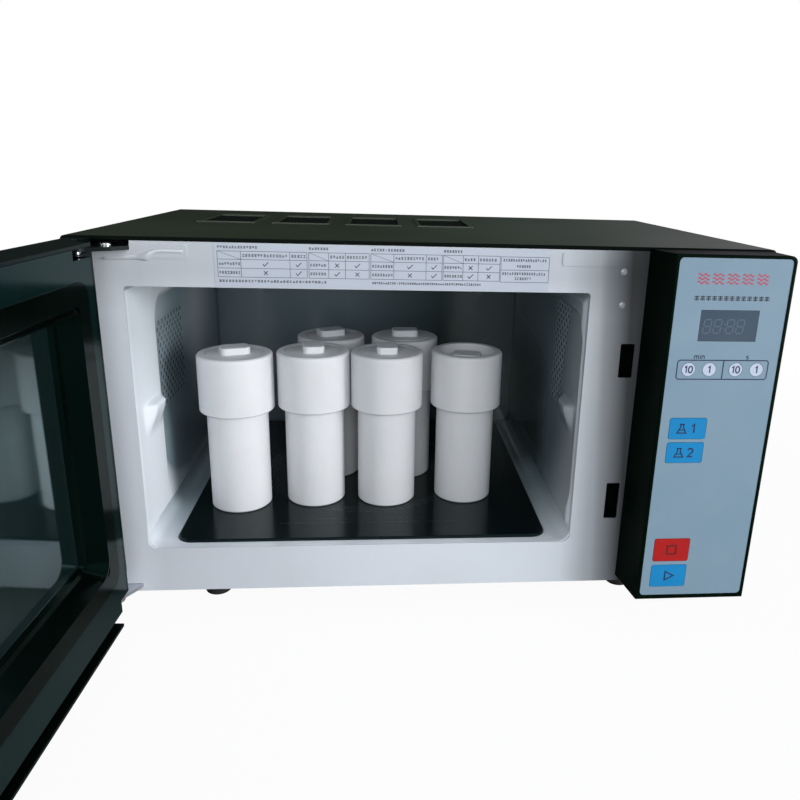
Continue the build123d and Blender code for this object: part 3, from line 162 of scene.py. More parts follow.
finishes = {
    "cover_paint": dict(colour=(0.030, 0.041, 0.020), shade=(0.038, 0.050, 0.027), cloud=9, grain=1500,
                        rough=(0.34, 0.5), bump=0.00006, coat=0.08, coatRough=0.3,
                        dusty=(0.045, 0.052, 0.038)),
    "frame_enamel": dict(colour=(0.70, 0.73, 0.78), shade=(0.65, 0.685, 0.735), cloud=7, grain=700,
                         rough=(0.16, 0.28), coat=0.5, dusty=(0.55, 0.54, 0.52)),
    "cavity_enamel": dict(colour=(0.272, 0.350, 0.385), shade=(0.232, 0.304, 0.338), cloud=6, grain=600,
                          rough=(0.14, 0.28), bump=0.00004, coat=0.3, dusty=(0.2, 0.235, 0.24)),
    "zinc_sheet": dict(colour=(0.56, 0.58, 0.60), shade=(0.44, 0.46, 0.49), cloud=60, rough=(0.26, 0.46),
                       metal=1.0),
    "black_ceramic": dict(colour=(0.0026, 0.0062, 0.0064), shade=(0.004, 0.008, 0.0084), cloud=11, grain=90,
                          rough=(0.12, 0.2), bump=0.00001, spec=0.24, dust=0.05, dusty=(0.014, 0.02, 0.02),
                          tint=(0.62, 0.95, 1.0)),
    "foot_rubber": dict(colour=(0.012, 0.012, 0.012), shade=(0.02, 0.02, 0.02), cloud=80, grain=2200,
                        rough=(0.6, 0.8), bump=0.0001, dusty=(0.06, 0.06, 0.055)),
    "screw_steel": dict(colour=(0.62, 0.63, 0.65), shade=(0.46, 0.47, 0.50), cloud=220, grain=3000,
                        rough=(0.16, 0.3), bump=0.00002, metal=1.0),
    "guide_aluminium": dict(colour=(0.72, 0.73, 0.74), shade=(0.6, 0.61, 0.63), cloud=40, grain=800,
                            rough=(0.28, 0.42), metal=1.0, stretch=(1, 12, 1)),
    "motor_can": dict(colour=(0.55, 0.55, 0.53), shade=(0.42, 0.42, 0.41), cloud=50, rough=(0.25, 0.4),
                      metal=1.0),
    "core_steel": dict(colour=(0.11, 0.085, 0.06), shade=(0.16, 0.13, 0.10), cloud=30, grain=2400,
                       rough=(0.35, 0.55), bump=0.0001, metal=0.4, stretch=(1, 1, 9)),
    "can_aluminium": dict(colour=(0.66, 0.67, 0.68), shade=(0.54, 0.55, 0.57), cloud=35, rough=(0.2, 0.36),
                          metal=1.0),
    "duct_plastic": dict(colour=(0.60, 0.60, 0.56), shade=(0.54, 0.54, 0.50), cloud=20, grain=1300,
                         rough=(0.4, 0.55), bump=0.00006),
    "fan_plastic": dict(colour=(0.72, 0.72, 0.69), shade=(0.64, 0.64, 0.61), cloud=20, grain=1300,
                        rough=(0.35, 0.5), bump=0.00005),
    "board_green": dict(colour=(0.012, 0.11, 0.035), shade=(0.02, 0.15, 0.05), cloud=90, grain=1500,
                        rough=(0.25, 0.4), bump=0.00005, coat=0.3),
    "black_plastic": dict(colour=(0.0003, 0.0028, 0.0012), shade=(0.0010, 0.0040, 0.0022), cloud=14,
                          grain=1400, rough=(0.3, 0.45), bump=0.00005, spec=0.055,
                          dusty=(0.004, 0.008, 0.005), tint=(0.6, 1.0, 0.75)),
    "overlay_film": dict(colour=(0.185, 0.275, 0.35), shade=(0.20, 0.292, 0.368), cloud=9, grain=1800,
                         rough=(0.34, 0.46), bump=0.00002, spec=0.4, dusty=(0.27, 0.345, 0.41)),
    "display_lens": dict(colour=(0.048, 0.074, 0.108), shade=(0.058, 0.086, 0.12), cloud=24, grain=500,
                         rough=(0.1, 0.2), bump=0.00001, coat=0.3),
    "key_pale": dict(colour=(0.50, 0.56, 0.68), shade=(0.46, 0.52, 0.65), cloud=120, grain=1500,
                     rough=(0.34, 0.45), bump=0.00002),
    "key_blue": dict(colour=(0.008, 0.225, 0.50), shade=(0.006, 0.205, 0.47), cloud=60, grain=1500,
                     rough=(0.34, 0.45), bump=0.00002, dust=0.06, spec=0.3),
    "key_red": dict(colour=(0.42, 0.010, 0.009), shade=(0.385, 0.008, 0.008), cloud=60, grain=1500,
                    rough=(0.34, 0.45), bump=0.00002, dust=0.06, spec=0.3),
    "door_paint": dict(colour=(0.0006, 0.0030, 0.0020), shade=(0.0016, 0.0046, 0.0034), cloud=12, grain=500,
                       rough=(0.12, 0.22), spec=0.13, dusty=(0.004, 0.012, 0.010), tint=(0.42, 1.0, 0.92)),
    "choke_black": dict(colour=(0.0012, 0.0078, 0.0070), shade=(0.0022, 0.0100, 0.0092), cloud=11, grain=500,
                        rough=(0.10, 0.18), spec=0.25, dusty=(0.006, 0.020, 0.019), tint=(0.2, 1.0, 0.93)),
    "choke_plastic": dict(colour=(0.0002, 0.0014, 0.0008), shade=(0.0006, 0.0022, 0.0014), cloud=13,
                          rough=(0.10, 0.18), spec=0.10, dusty=(0.002, 0.005, 0.004), tint=(0.3, 1.0, 0.9)),
    "handle_metal": dict(colour=(0.60, 0.61, 0.62), shade=(0.48, 0.49, 0.50), cloud=60, grain=1500,
                         rough=(0.24, 0.36), metal=1.0, stretch=(9, 9, 0.35)),
    "latch_nylon": dict(colour=(0.62, 0.61, 0.57), shade=(0.54, 0.53, 0.49), cloud=60, grain=1200,
                        rough=(0.35, 0.5), bump=0.00004),
    "spring_steel": dict(colour=(0.50, 0.50, 0.51), shade=(0.38, 0.38, 0.39), cloud=300, grain=2500,
                         rough=(0.2, 0.35), bump=0.00002, metal=1.0),
    "label_film": dict(colour=(0.495, 0.53, 0.60), shade=(0.465, 0.50, 0.575), cloud=16, rough=(0.24, 0.38),
                       bump=0.00002, coat=0.2),
    "inkGhost": dict(colour=(0.10, 0.13, 0.175), shade=(0.088, 0.115, 0.16), cloud=200, rough=(0.15, 0.25),
                     bump=0.00001),
    "inkEtch": dict(colour=(0.034, 0.042, 0.043), shade=(0.05, 0.058, 0.06), cloud=240, rough=(0.2, 0.35),
                    bump=0.00001),
    # near black for the sunk hole discs: painted shade inside the holes
    "holeDark": dict(colour=(0.003, 0.005, 0.005), shade=(0.005, 0.008, 0.008), cloud=200, rough=(0.5, 0.7),
                     bump=0.00002, spec=0.05),
    "bumper": dict(colour=(0.34, 0.35, 0.37), shade=(0.27, 0.28, 0.30), cloud=300, rough=(0.05, 0.1),
                   bump=0.00001, coat=0.8),
}
inks = {
    "inkNavy": ((0.012, 0.022, 0.07), (0.018, 0.03, 0.085), 300),
    "inkDark": ((0.03, 0.035, 0.05), (0.05, 0.055, 0.075), 400),
    "inkTable": ((0.07, 0.075, 0.125), (0.10, 0.108, 0.16), 500),
    "inkRed": ((0.46, 0.05, 0.085), (0.40, 0.06, 0.10), 300),
    "inkRedDeep": ((0.10, 0.004, 0.008), (0.12, 0.006, 0.008), 300),
}
inkFilm = {"grain": 1500, "rough": (0.3, 0.45), "bump": 0.00001}
for name, (colour, shade, cloud) in inks.items():
    finishes[name] = dict(inkFilm, colour=colour, shade=shade, cloud=cloud)
mats = {name: makeFinish(name, look) for name, look in finishes.items()}

# Turned plastic: milky, with lathe rings round the upright axis and slight scatter
ptfeLook = dict(colour=(0.80, 0.80, 0.815), shade=(0.765, 0.768, 0.785), cloud=22, grain=420,
                rough=(0.42, 0.58), dust=0.2, dusty=(0.68, 0.68, 0.67), rings=5200.0,
                drift=(30, 0.0016), ringBump=(0.22, 0.00004), scatter=0.25, reach=(0.004, 0.0035, 0.003))


def makeTurned(name, look):
    mat = makeFinish(name, look)
    tree, skin = skinOf(mat)
    scale, depth = look["drift"]
    drift = times(tree, noise(tree, objectCoord(tree), scale, 2.0), depth)
    height = plus(tree, placeOf(tree)[2], drift)
    rings = math2(tree, "SINE", times(tree, height, look["rings"]), 0.0)
    feed(tree, skin, {"Normal": bumped(tree, rings, *look["ringBump"],
                                       Normal=tree.nodes[mat["bumpNode"]].outputs[0])})
    skin.inputs["Subsurface Weight"].default_value = look["scatter"]
    skin.inputs["Subsurface Radius"].default_value = look["reach"]
    skin.inputs["Subsurface Scale"].default_value = 1.0
    return mat


# Vessels 3 and 4 have plastic of their own, a little darker: painted shade, as they stand in the shadow on
# the right
mats["ptfe"] = makeTurned("ptfe", ptfeLook)
for number, share in ((3, 0.93), (4, 0.86)):
    own = {key: tuple(share * c for c in ptfeLook[key]) for key in ("colour", "shade")}
    mats[f"ptfe_{number}"] = makeTurned(f"ptfe_{number}", dict(ptfeLook, **own))


# Window sheet: dark, with a close pattern of round holes
dotLook = {"pitch": 3140.0, "edge": (0.1, 0.35), "bump": (0.05, 0.00005)}


def makeScreen(name, look, dot):
    mat = makeFinish(name, look)
    tree, skin = skinOf(mat)
    _, y, z = placeOf(tree)
    along = math2(tree, "SINE", times(tree, y, dot["pitch"]), 0.0)
    upward = math2(tree, "SINE", times(tree, z, dot["pitch"]), 0.0)
    dots = times(tree, along, upward)
    hole = rising(tree, dots, *dot["edge"])
    feed(tree, skin, {"Base Color": blend(tree, hole, baseOf(mat), look["holes"]),
                      "Normal": bumped(tree, dots, *dot["bump"])})
    return mat


screenLook = dict(colour=(0.004, 0.012, 0.012), shade=(0.007, 0.016, 0.016), cloud=8, grain=400,
                  rough=(0.03, 0.06), bump=0.00001, coat=0.6, coatRough=0.015, spec=1.0,
                  tint=(0.3, 0.92, 1.0), dust=0.08, dusty=(0.010, 0.018, 0.018),
                  holes=(0.0015, 0.005, 0.0045))
glassLook = dict(colour=(0.004, 0.005, 0.005), shade=(0.006, 0.007, 0.007), cloud=6, grain=200,
                 rough=(0.02, 0.06), bump=0.00001, coat=1.0, holes=(0.012, 0.014, 0.014))
mats["screen_dark"] = makeScreen("screen_dark", screenLook, dotLook)


# The inner window mirrors less towards its top and bottom edges and away from the hinge
paneTone = {"low": (0.35, 1.15, 0.085, 0.15), "high": (1.0, 0.18, 0.19, 0.235),
            "out": (0.7, 1.0, -0.285, -0.262)}


def tonePane(mat, look):
    tree, skin = skinOf(mat)
    _, y, z = placeOf(tree)
    share = times(tree, spread(tree, z, *look["low"]), spread(tree, z, *look["high"]))
    share = times(tree, share, spread(tree, y, *look["out"]))
    for name in ("Coat Weight", "Specular IOR Level"):
        feed(tree, skin, {name: times(tree, share, skin.inputs[name].default_value)})


tonePane(mats["screen_dark"], paneTone)
mats["door_glass"] = makeScreen("door_glass", glassLook, dotLook)


def scaled(tree, colour, factor):
    return addNode(tree, "VectorMath", {0: colour, "Scale": factor}, operation="SCALE").outputs[0]


def within(tree, value, start, end, edge):
    rise = rising(tree, value, start - edge, start)
    return times(tree, rise, spread(tree, value, 1.0, 0.0, end, end + edge))


# Cover paint: the cut front edge is left dark, the four vent fields are painted dark as painted shade for the
# unlit inside seen through the slots, and the top pales towards the right as painted light, where the window
# stands
coverTone = {"edge": (0.0005, 0.0009), "dark": (0.001, 0.003, 0.002), "painted_light": (0.105, 0.122, 0.098),
             "run": (-0.06, 0.20), "top": (0.004, 0.001), "blur": 0.0005,
             "vents": (-0.1845, 4, 0.061, 0.0415), "ventDepth": (-0.0075, 0.076),
             "spec": (0.5, 0.05), "coat": (0.08, 0.0)}


def toneCover(mat, look):
    tree, skin = skinOf(mat)
    low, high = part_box("outer_cover")
    x, y, z = placeOf(tree)
    front = spread(tree, y, 1.0, 0.0, *(low.y + v for v in look["edge"]))
    top = rising(tree, z, *(high.z - v for v in look["top"]))
    start, count, pitch, width = look["vents"]
    blur = look["blur"]
    step = math2(tree, "FLOORED_MODULO", minus(tree, x, start), pitch)
    vents = times(tree, within(tree, step, blur, width, blur),
                  within(tree, x, start, start + count * pitch, blur))
    vents = times(tree, times(tree, vents, within(tree, y, *look["ventDepth"], blur)), top)
    mask = math2(tree, "MAXIMUM", front, vents)
    # painted light on the top, growing towards the window on the right
    painted_light = times(tree, rising(tree, x, *look["run"]), top)
    colour = blend(tree, painted_light, baseOf(mat), look["painted_light"])
    # painted shade over the vent fields; the front edge is left dark
    feed(tree, skin, {"Base Color": blend(tree, mask, colour, look["dark"]),
                      "Specular IOR Level": spread(tree, mask, *look["spec"], 0.0, 1.0),
                      "Coat Weight": spread(tree, mask, *look["coat"], 0.0, 1.0)})


toneCover(mats["cover_paint"], coverTone)


# Frame enamel: shaded beside the tall panel housing and along the top, brighter at the hinge
frameTone = {"lean": 0.055, "level": 0.225, "far": (1.0, 0.6, 0.095, 0.124),
             "near": (1.0, 0.12, 0.119, 0.142), "top": (1.0, 0.76, 0.235, 0.262),
             "hinge": (1.3, 1.0, -0.225, -0.195), "coat": (0.5, 0.0, 0.10, 0.14)}


def toneFrame(mat, look):
    tree, skin = skinOf(mat)
    x, _, z = placeOf(tree)
    lean = times(tree, minus(tree, z, look["level"]), look["lean"])
    across = plus(tree, x, lean)
    factor = times(tree, spread(tree, across, *look["far"]), spread(tree, across, *look["near"]))
    factor = times(tree, factor, spread(tree, z, *look["top"]))
    factor = times(tree, factor, spread(tree, x, *look["hinge"]))
    feed(tree, skin, {"Base Color": scaled(tree, baseOf(mat), factor),
                      "Coat Weight": spread(tree, across, *look["coat"])})


toneFrame(mats["frame_enamel"], frameTone)


# Hinge brackets: the lower arm is bright zinc, the upper one black
hingeLook = dict(finishes["zinc_sheet"], colour=(0.78, 0.80, 0.86), shade=(0.66, 0.68, 0.74),
                 upper=(0.0015, 0.006, 0.005), upperSpec=(0.5, 0.2))


def makeHinge(name, look):
    mat = makeFinish(name, look)
    tree, skin = skinOf(mat)
    low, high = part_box("hinge_brackets")
    middle = (low.z + high.z) / 2
    mask = rising(tree, placeOf(tree)[2], middle - mm, middle + mm)
    feed(tree, skin, {"Base Color": blend(tree, mask, baseOf(mat), look["upper"]),
                      "Metallic": minus(tree, 1.0, mask),
                      "Specular IOR Level": spread(tree, mask, *look["upperSpec"], 0.0, 1.0)})
    return mat


mats["hinge_plate"] = makeHinge("hinge_plate", hingeLook)


# Cavity enamel: painted light round the mouth, most on the floor there, greyer inside, painted shade along
# the back towards the right and on the right side further in, and painted shade, nearly black, where the
# bare shell faces the works
cavityTone = {"painted_light": (0.80, 0.84, 0.89), "bare_in_painted_shade": (0.010, 0.012, 0.012), "deep": (0.035, 0.060, 0.060),
              "near": 0.012, "far": 0.105, "fall": 1.5, "floor": (1.0, 0.35, 0.07, 0.16),
              "back": (0.0, 0.93, -0.07, 0.03), "backEdge": (0.04, 0.01),
              "side": (0.0, 0.85, 0.085, 0.1), "sideRun": (0.09, 0.17), "outside": (0.0067, 0.0065),
              "coat": (0.3, 0.0), "spec": (0.5, 0.05)}


def toneCavity(mat, look):
    tree, skin = skinOf(mat)
    low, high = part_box("cavity_shell")
    x, y, z = placeOf(tree)
    # painted light round the mouth, most on the floor
    depth = spread(tree, y, 1.0, 0.0, low.y + look["near"], low.y + look["far"])
    painted_light = times(tree, math2(tree, "POWER", depth, look["fall"]), spread(tree, z, *look["floor"]))
    colour = blend(tree, painted_light, baseOf(mat), look["painted_light"])
    # painted shade along the back towards the right and on the right side
    rear = rising(tree, y, *(high.y - v for v in look["backEdge"]))
    back = times(tree, rear, spread(tree, x, *look["back"]))
    inward = rising(tree, y, *(low.y + v for v in look["sideRun"]))
    side = times(tree, spread(tree, x, *look["side"]), inward)
    colour = blend(tree, math2(tree, "MAXIMUM", back, side), colour, look["deep"])
    # painted shade on the bare outside of the shell
    above = rising(tree, z, *(high.z - v for v in look["outside"]))
    feed(tree, skin, {"Base Color": blend(tree, above, colour, look["bare_in_painted_shade"]),
                      "Coat Weight": spread(tree, above, *look["coat"], 0.0, 1.0),
                      "Specular IOR Level": spread(tree, above, *look["spec"], 0.0, 1.0)})


toneCavity(mats["cavity_enamel"], cavityTone)

for part in frame["record"]["subparts"]:
    data = nodes[part["node"]].data
    data.materials.clear()
    slot = "hinge_plate" if part["node"] == "hinge_brackets" else part["material_slot"]
    # vessels 3 and 4 take their darker copies of the plastic, painted shade
    own = slot + "_" + part["node"][-1]
    slot = own if own in mats else slot
    data.materials.append(mats[slot])
print("stage: finishes on", len(nodes), "nodes")


def holdSpring():
    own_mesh(nodes["latch_spring"])


holdSpring()
print("stage: spring")


# Mesh helpers
def columns(*values):
    return np.stack(values, axis=1)


def gridQuads(rows, cols):
    r, c = np.meshgrid(np.arange(rows - 1), np.arange(cols - 1), indexing="ij")
    a = (r * cols + c).ravel()
    return columns(a, a + 1, a + cols + 1, a + cols)


def addObject(name, data):
    obj = bpy.data.objects.new(name, data)
    bpy.context.scene.collection.objects.link(obj)
    return obj


def addPiece(name, points, faces, finish, body, smooth=True):
    data = bpy.data.meshes.new(name)
    data.from_pydata(np.asarray(points, float).tolist(), [], [list(map(int, f)) for f in faces])
    data.materials.append(mats[finish])
    data.polygons.foreach_set("use_smooth", np.full(len(data.polygons), smooth))
    data.update()
    obj = addObject(name, data)
    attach(obj, body)
    return obj


# Strokes and filled shapes in a plane, given in millimetres
def ribbon(line, width, closed=False):
    p = np.asarray(line, float)
    if closed:
        before, after = np.roll(p, 1, 0), np.roll(p, -1, 0)
    else:
        before = np.vstack([2 * p[0] - p[1], p[:-1]])
        after = np.vstack([p[1:], 2 * p[-1] - p[-2]])
    a, b = p - before, after - p
    a /= np.linalg.norm(a, axis=1, keepdims=True)
    b /= np.linalg.norm(b, axis=1, keepdims=True)
    t = a + b
    t /= np.linalg.norm(t, axis=1, keepdims=True)
    side = columns(-t[:, 1], t[:, 0])
    reach = width / 2 / np.maximum((side * columns(-a[:, 1], a[:, 0])).sum(1), 0.5)
    left, right = p + side * reach[:, None], p - side * reach[:, None]
    n = len(p)
    i = np.arange(n if closed else n - 1)
    j = (i + 1) % n
    return np.vstack([left, right]), columns(i, i + n, j + n, j)


def filled(line):
    p = np.asarray(line, float)
    return p, [list(range(len(p)))]


def arc(cx, cy, rx, ry, start, end, count=24):
    t = np.radians(np.linspace(start, end, count))
    return columns(cx + rx * np.cos(t), cy + ry * np.sin(t))


def roundBox(x0, x1, y0, y1, r):
    corners = ((x1 - r, y1 - r, 0), (x0 + r, y1 - r, 90), (x0 + r, y0 + r, 180), (x1 - r, y0 + r, 270))
    return np.vstack([arc(x, y, r, r, s, s + 90, 7) for x, y, s in corners])


# Glyph strokes in a box one high; the second number is the glyph's width
glyphs = {
    "0": ([arc(0.3, 0.5, 0.3, 0.5, 0, 342, 20)], 0.6),
    "1": ([[(0.05, 0.76), (0.3, 1.0), (0.3, 0.0)]], 0.42),
    "2": ([np.vstack([arc(0.29, 0.71, 0.29, 0.29, 160, -25, 12), [(0.02, 0.02), (0.6, 0.02)]])], 0.6),
    "m": ([[(0.0, 0.0), (0.0, 0.6)], np.vstack([arc(0.2, 0.4, 0.2, 0.2, 180, 0, 8), [(0.4, 0.0)]]),
           np.vstack([arc(0.6, 0.4, 0.2, 0.2, 180, 0, 8), [(0.8, 0.0)]])], 0.85),
    "i": ([[(0.05, 0.0), (0.05, 0.62)], [(0.05, 0.8), (0.05, 0.9)]], 0.14),
    "n": ([[(0.0, 0.0), (0.0, 0.6)],
           np.vstack([arc(0.22, 0.38, 0.22, 0.22, 180, 0, 8), [(0.44, 0.0)]])], 0.5),
    "s": ([np.vstack([arc(0.22, 0.45, 0.2, 0.15, 30, 240, 9),
                      arc(0.22, 0.15, 0.2, 0.16, 60, -140, 9)])], 0.44),
}


def writeMark(word, x, y, height, weight, gap=0.22):
    shapes = []
    total = sum(glyphs[c][1] for c in word) + gap * (len(word) - 1)
    pen = x - total * height / 2
    for c in word:
        for line in glyphs[c][0]:
            shapes.append(ribbon(np.asarray(line) * height + (pen, y - height / 2), weight, closed=c == "0"))
        pen += (glyphs[c][1] + gap) * height
    return shapes


# Stand-in writing: signs of up to three bars and a stem
dashLook = {"least": 0.62, "more": 0.2, "kept": 0.85, "last": 0.7, "line": 0.36}


def dashes(rng, x0, x1, y, height, pitch):
    shapes, line = [], dashLook["line"]
    x = x0
    while x < x1 - pitch * dashLook["last"]:
        w = pitch * (dashLook["least"] + dashLook["more"] * rng.random())
        for level in (-0.5, 0.0, 0.5):
            if rng.random() < dashLook["kept"]:
                shapes.append(ribbon([(x, y + level * height), (x + w, y + level * height)], line))
        shapes.append(ribbon([(x + w / 2, y - height / 2), (x + w / 2, y + height / 2)], line))
        x += pitch
    return shapes


def addPrint(name, shapes, place, finish, body):
    points, faces, base = [], [], 0
    for p, f in shapes:
        points.append(place(p * mm))
        faces += [[int(i) + base for i in face] for face in f]
        base += len(p)
    return addPiece(name, np.vstack(points), faces, finish, body, smooth=False)


def facingFront(y):
    return lambda p: columns(p[:, 0], np.full(len(p), y), p[:, 1])


# Usage table: ruled boxes, ticks, crosses and stand-in lines of writing
tableLook = {
    "rows": (276.3, 270.9, 265.1, 259.2), "line": 0.34, "lift": 0.03,
    "tables": ((-144.0, -128.8, -96.7, -85.4), (-84.2, -71.1, -59.9, -44.0),
               (-42.9, -27.4, -5.5, 5.4), (6.2, 19.8, 30.3, 45.2)),
    "signs": ("v", "v", "x", "v", "x", "v", "v", "x", "v", "v", "x", "v", "x", "v", "v", "x"),
    "box": (46.0, 79.6, 276.0, 258.7, 267.0),
    "caption": {"share": (0.48, 0.35), "z": 278.9, "height": 1.3, "pitch": 1.9},
    "boxLines": ((273.8, 1.5, 1.5), (269.6, 11, 12), (264.6, 1.0, 1.0), (261.2, 10, 11)),
    "notes": {"z": 256.6, "lines": ((-143.5, -72.0, 1.2, 2.1), (-42.0, 33.5, 1.1, 1.5))},
    "tick": ((-1.8, 0.1), (-0.7, -1.3), (1.9, 1.4)), "cross": 1.3, "signWidth": 0.56, "slope": 0.8,
    "head": (1.0, 0.6, 1.5, 2.0), "side": (0.8, 0.5, 1.4, 1.8), "boxText": (1.4, 1.7), "indent": 0.2,
}


def makeTable(look):
    rng = np.random.default_rng(7)
    shapes, marks = [], []
    rows = look["rows"]
    w = look["line"]
    caption, notes, arm = look["caption"], look["notes"], look["cross"]
    for k, cols in enumerate(look["tables"]):
        for x in cols:
            shapes.append(ribbon([(x, rows[0]), (x, rows[3])], w))
        for z in rows:
            shapes.append(ribbon([(cols[0], z), (cols[3], z)], w))
        shapes.append(ribbon([(cols[0], rows[0]), (cols[1], rows[1])], w * look["slope"]))
        end = cols[0] + (cols[3] - cols[0]) * caption["share"][k % 2]
        marks += dashes(rng, cols[0] + look["indent"], end, caption["z"], caption["height"], caption["pitch"])
        start, stop, height, pitch = look["head"]
        for c in (1, 2):
            marks += dashes(rng, cols[c] + start, cols[c + 1] - stop, (rows[0] + rows[1]) / 2, height, pitch)
        start, stop, height, pitch = look["side"]
        for r in (1, 2):
            z = (rows[r] + rows[r + 1]) / 2
            marks += dashes(rng, cols[0] + start, cols[1] - stop, z, height, pitch)
            for c in (1, 2):
                x = (cols[c] + cols[c + 1]) / 2
                if look["signs"][k * 4 + (r - 1) * 2 + c - 1] == "v":
                    marks.append(ribbon([(x + a, z + b) for a, b in look["tick"]], look["signWidth"]))
                else:
                    for slope in (1, -1):
                        stroke = [(x - arm, z - slope * arm), (x + arm, z + slope * arm)]
                        marks.append(ribbon(stroke, look["signWidth"]))
    x0, x1, top, low, middle = look["box"]
    shapes.append(ribbon([(x0, low), (x1, low), (x1, top), (x0, top)], w, closed=True))
    shapes.append(ribbon([(x0, middle), (x1, middle)], w))
    for z, a, b in look["boxLines"]:
        marks += dashes(rng, x0 + a, x1 - b, z, *look["boxText"])
    for start, end, height, pitch in notes["lines"]:
        marks += dashes(rng, start, end, notes["z"], height, pitch)
    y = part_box("usage_label")[0].y - look["lift"] * mm
    addPrint("usage_table_rules", shapes, facingFront(y), "inkTable", "cabinet")
    addPrint("usage_table_marks", marks, facingFront(y), "inkDark", "cabinet")


makeTable(tableLook)
print("stage: usage table")

# Control panel print, measured from the overlay's top left corner
panelLook = {
    "lift": 0.04, "frame": (7.0, 72.3, 69.9, 83.5), "divider": 39.9, "frameLine": 0.8,
    "corner": 2.0, "title": (13.1, 64.7, 9.5, 18.0), "signs": 5,
    "wave": {"rows": (0.2, 0.5, 0.8), "start": 0.6, "gap": 2.4, "height": 0.8, "line": 0.85, "steps": 17},
    "rule": (13.0, 66.4, 26.9), "ruleSigns": 13,
    "sign": {"levels": (-1.0, 0.1, 1.2), "share": 0.8, "line": 0.6, "stem": (-1.5, 1.7, 0.62)},
    "units": {"level": 67.0, "height": 3.8, "weight": 0.6, "words": (("min", 22.0), ("s", 56.5))},
}


def makePanelPrint(look):
    low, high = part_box("panel_overlay")
    x0, z1 = low.x / mm, high.z / mm
    y = low.y - look["lift"] * mm
    a, b, c, d = look["frame"]
    navy = [ribbon(roundBox(x0 + a, x0 + b, z1 - d, z1 - c, look["corner"]), look["frameLine"], closed=True)]
    navy.append(ribbon([(x0 + look["divider"], z1 - c), (x0 + look["divider"], z1 - d)], look["frameLine"]))
    units = look["units"]
    for word, x in units["words"]:
        navy += writeMark(word, x0 + x, z1 - units["level"], units["height"], units["weight"])
    addPrint("panel_frame_print", navy, facingFront(y), "inkNavy", "cabinet")
    # Wave signs: three rows of a sine each, z = H sin 4 pi t, two turns over t from 0 to 1
    a, b, c, d = look["title"]
    wave = look["wave"]
    red = []
    pitch = (b - a) / look["signs"]
    t = np.linspace(0, 1, wave["steps"])
    for k in range(look["signs"]):
        left = x0 + a + k * pitch + wave["start"]
        for row in wave["rows"]:
            z = z1 - c - (d - c) * row + wave["height"] * np.sin(t * 4 * math.pi)
            red.append(ribbon(columns(left + t * (pitch - wave["gap"]), z), wave["line"]))
    addPrint("panel_title_print", red, facingFront(y), "inkRed", "cabinet")
    a, b, c = look["rule"]
    sign = look["sign"]
    pitch = (b - a) / look["ruleSigns"]
    wide, level = pitch * sign["share"], z1 - c
    foot, head, weight = sign["stem"]
    dark = []
    for k in range(look["ruleSigns"]):
        left = x0 + a + k * pitch
        for rise in sign["levels"]:
            dark.append(ribbon([(left, level + rise), (left + wide, level + rise)], sign["line"]))
        dark.append(ribbon([(left + wide / 2, level + foot), (left + wide / 2, level + head)], weight))
    addPrint("panel_rule_print", dark, facingFront(y), "inkDark", "cabinet")


# Seven bars to a digit, leaning right, unlit behind the display lens
digitLook = {
    "lift": 0.04, "tall": 9.4, "wide": 5.0, "rise": 5.6, "lean": 1.0, "stroke": 1.0, "trim": 0.1,
    "starts": (2.4, 9.6, 18.6, 25.8), "colon": 16.9, "dots": (3.0, 6.4), "dot": 0.55,
    "bars": (((0, 0), (1, 0)), ((0, 0.5), (1, 0.5)), ((0, 1), (1, 1)), ((0, 0), (0, 0.5)),
             ((1, 0), (1, 0.5)), ((0, 0.5), (0, 1)), ((1, 0.5), (1, 1))),
}


def makeDigits(look):
    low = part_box("display_window")[0]
    x0, z0 = low.x / mm, low.z / mm
    y = low.y - look["lift"] * mm
    z0 += look["rise"]
    shapes = []
    for left in look["starts"]:
        for ends in look["bars"]:
            p, q = (np.array([x0 + left + u * look["wide"] + v * look["lean"], z0 + v * look["tall"]])
                    for u, v in ends)
            step = (q - p) * look["trim"]
            shapes.append(ribbon([p + step, q - step], look["stroke"]))
    for rise in look["dots"]:
        dot = arc(x0 + look["colon"] + rise * 0.1, z0 + rise, look["dot"], look["dot"], 0, 330, 12)
        shapes.append(filled(dot))
    addPrint("display_digits", shapes, facingFront(y), "inkGhost", "cabinet")


# Key marks: numbers, a flask for each program, a square to stop and a triangle to start
keyLook = {
    "lift": 0.04,
    "words": {"key_min_10": "10", "key_min_1": "1", "key_sec_10": "10", "key_sec_1": "1",
              "key_program_1": "1", "key_program_2": "2", "key_stop": "", "key_start": ""},
    "flask": {"size": 6.6, "aside": 4.2, "line": 0.9, "fill": 0.8, "neck": 0.16, "shoulder": 0.12,
              "lip": 1.8, "level": -0.16, "levelWide": 0.62}, "program": (6.4, 1.15),
    "square": (3.4, 1.2), "triangle": (2.6, 4.0, 3.6, 1.1), "time": (4.6, 0.95),
}


def makeFlask(x, z, look):
    size = look["size"]
    neck, base = look["neck"] * size, size / 2
    shoulder, top, level = z + look["shoulder"] * size, z + base, z + look["level"] * size
    body = [(x - neck, top), (x - neck, shoulder), (x - base, z - base),
            (x + base, z - base), (x + neck, shoulder), (x + neck, top)]
    lip, wide = neck * look["lip"], base * look["levelWide"]
    return [ribbon(body, look["line"]), ribbon([(x - lip, top), (x + lip, top)], look["line"]),
            ribbon([(x - wide, level), (x + wide, level)], look["fill"])]


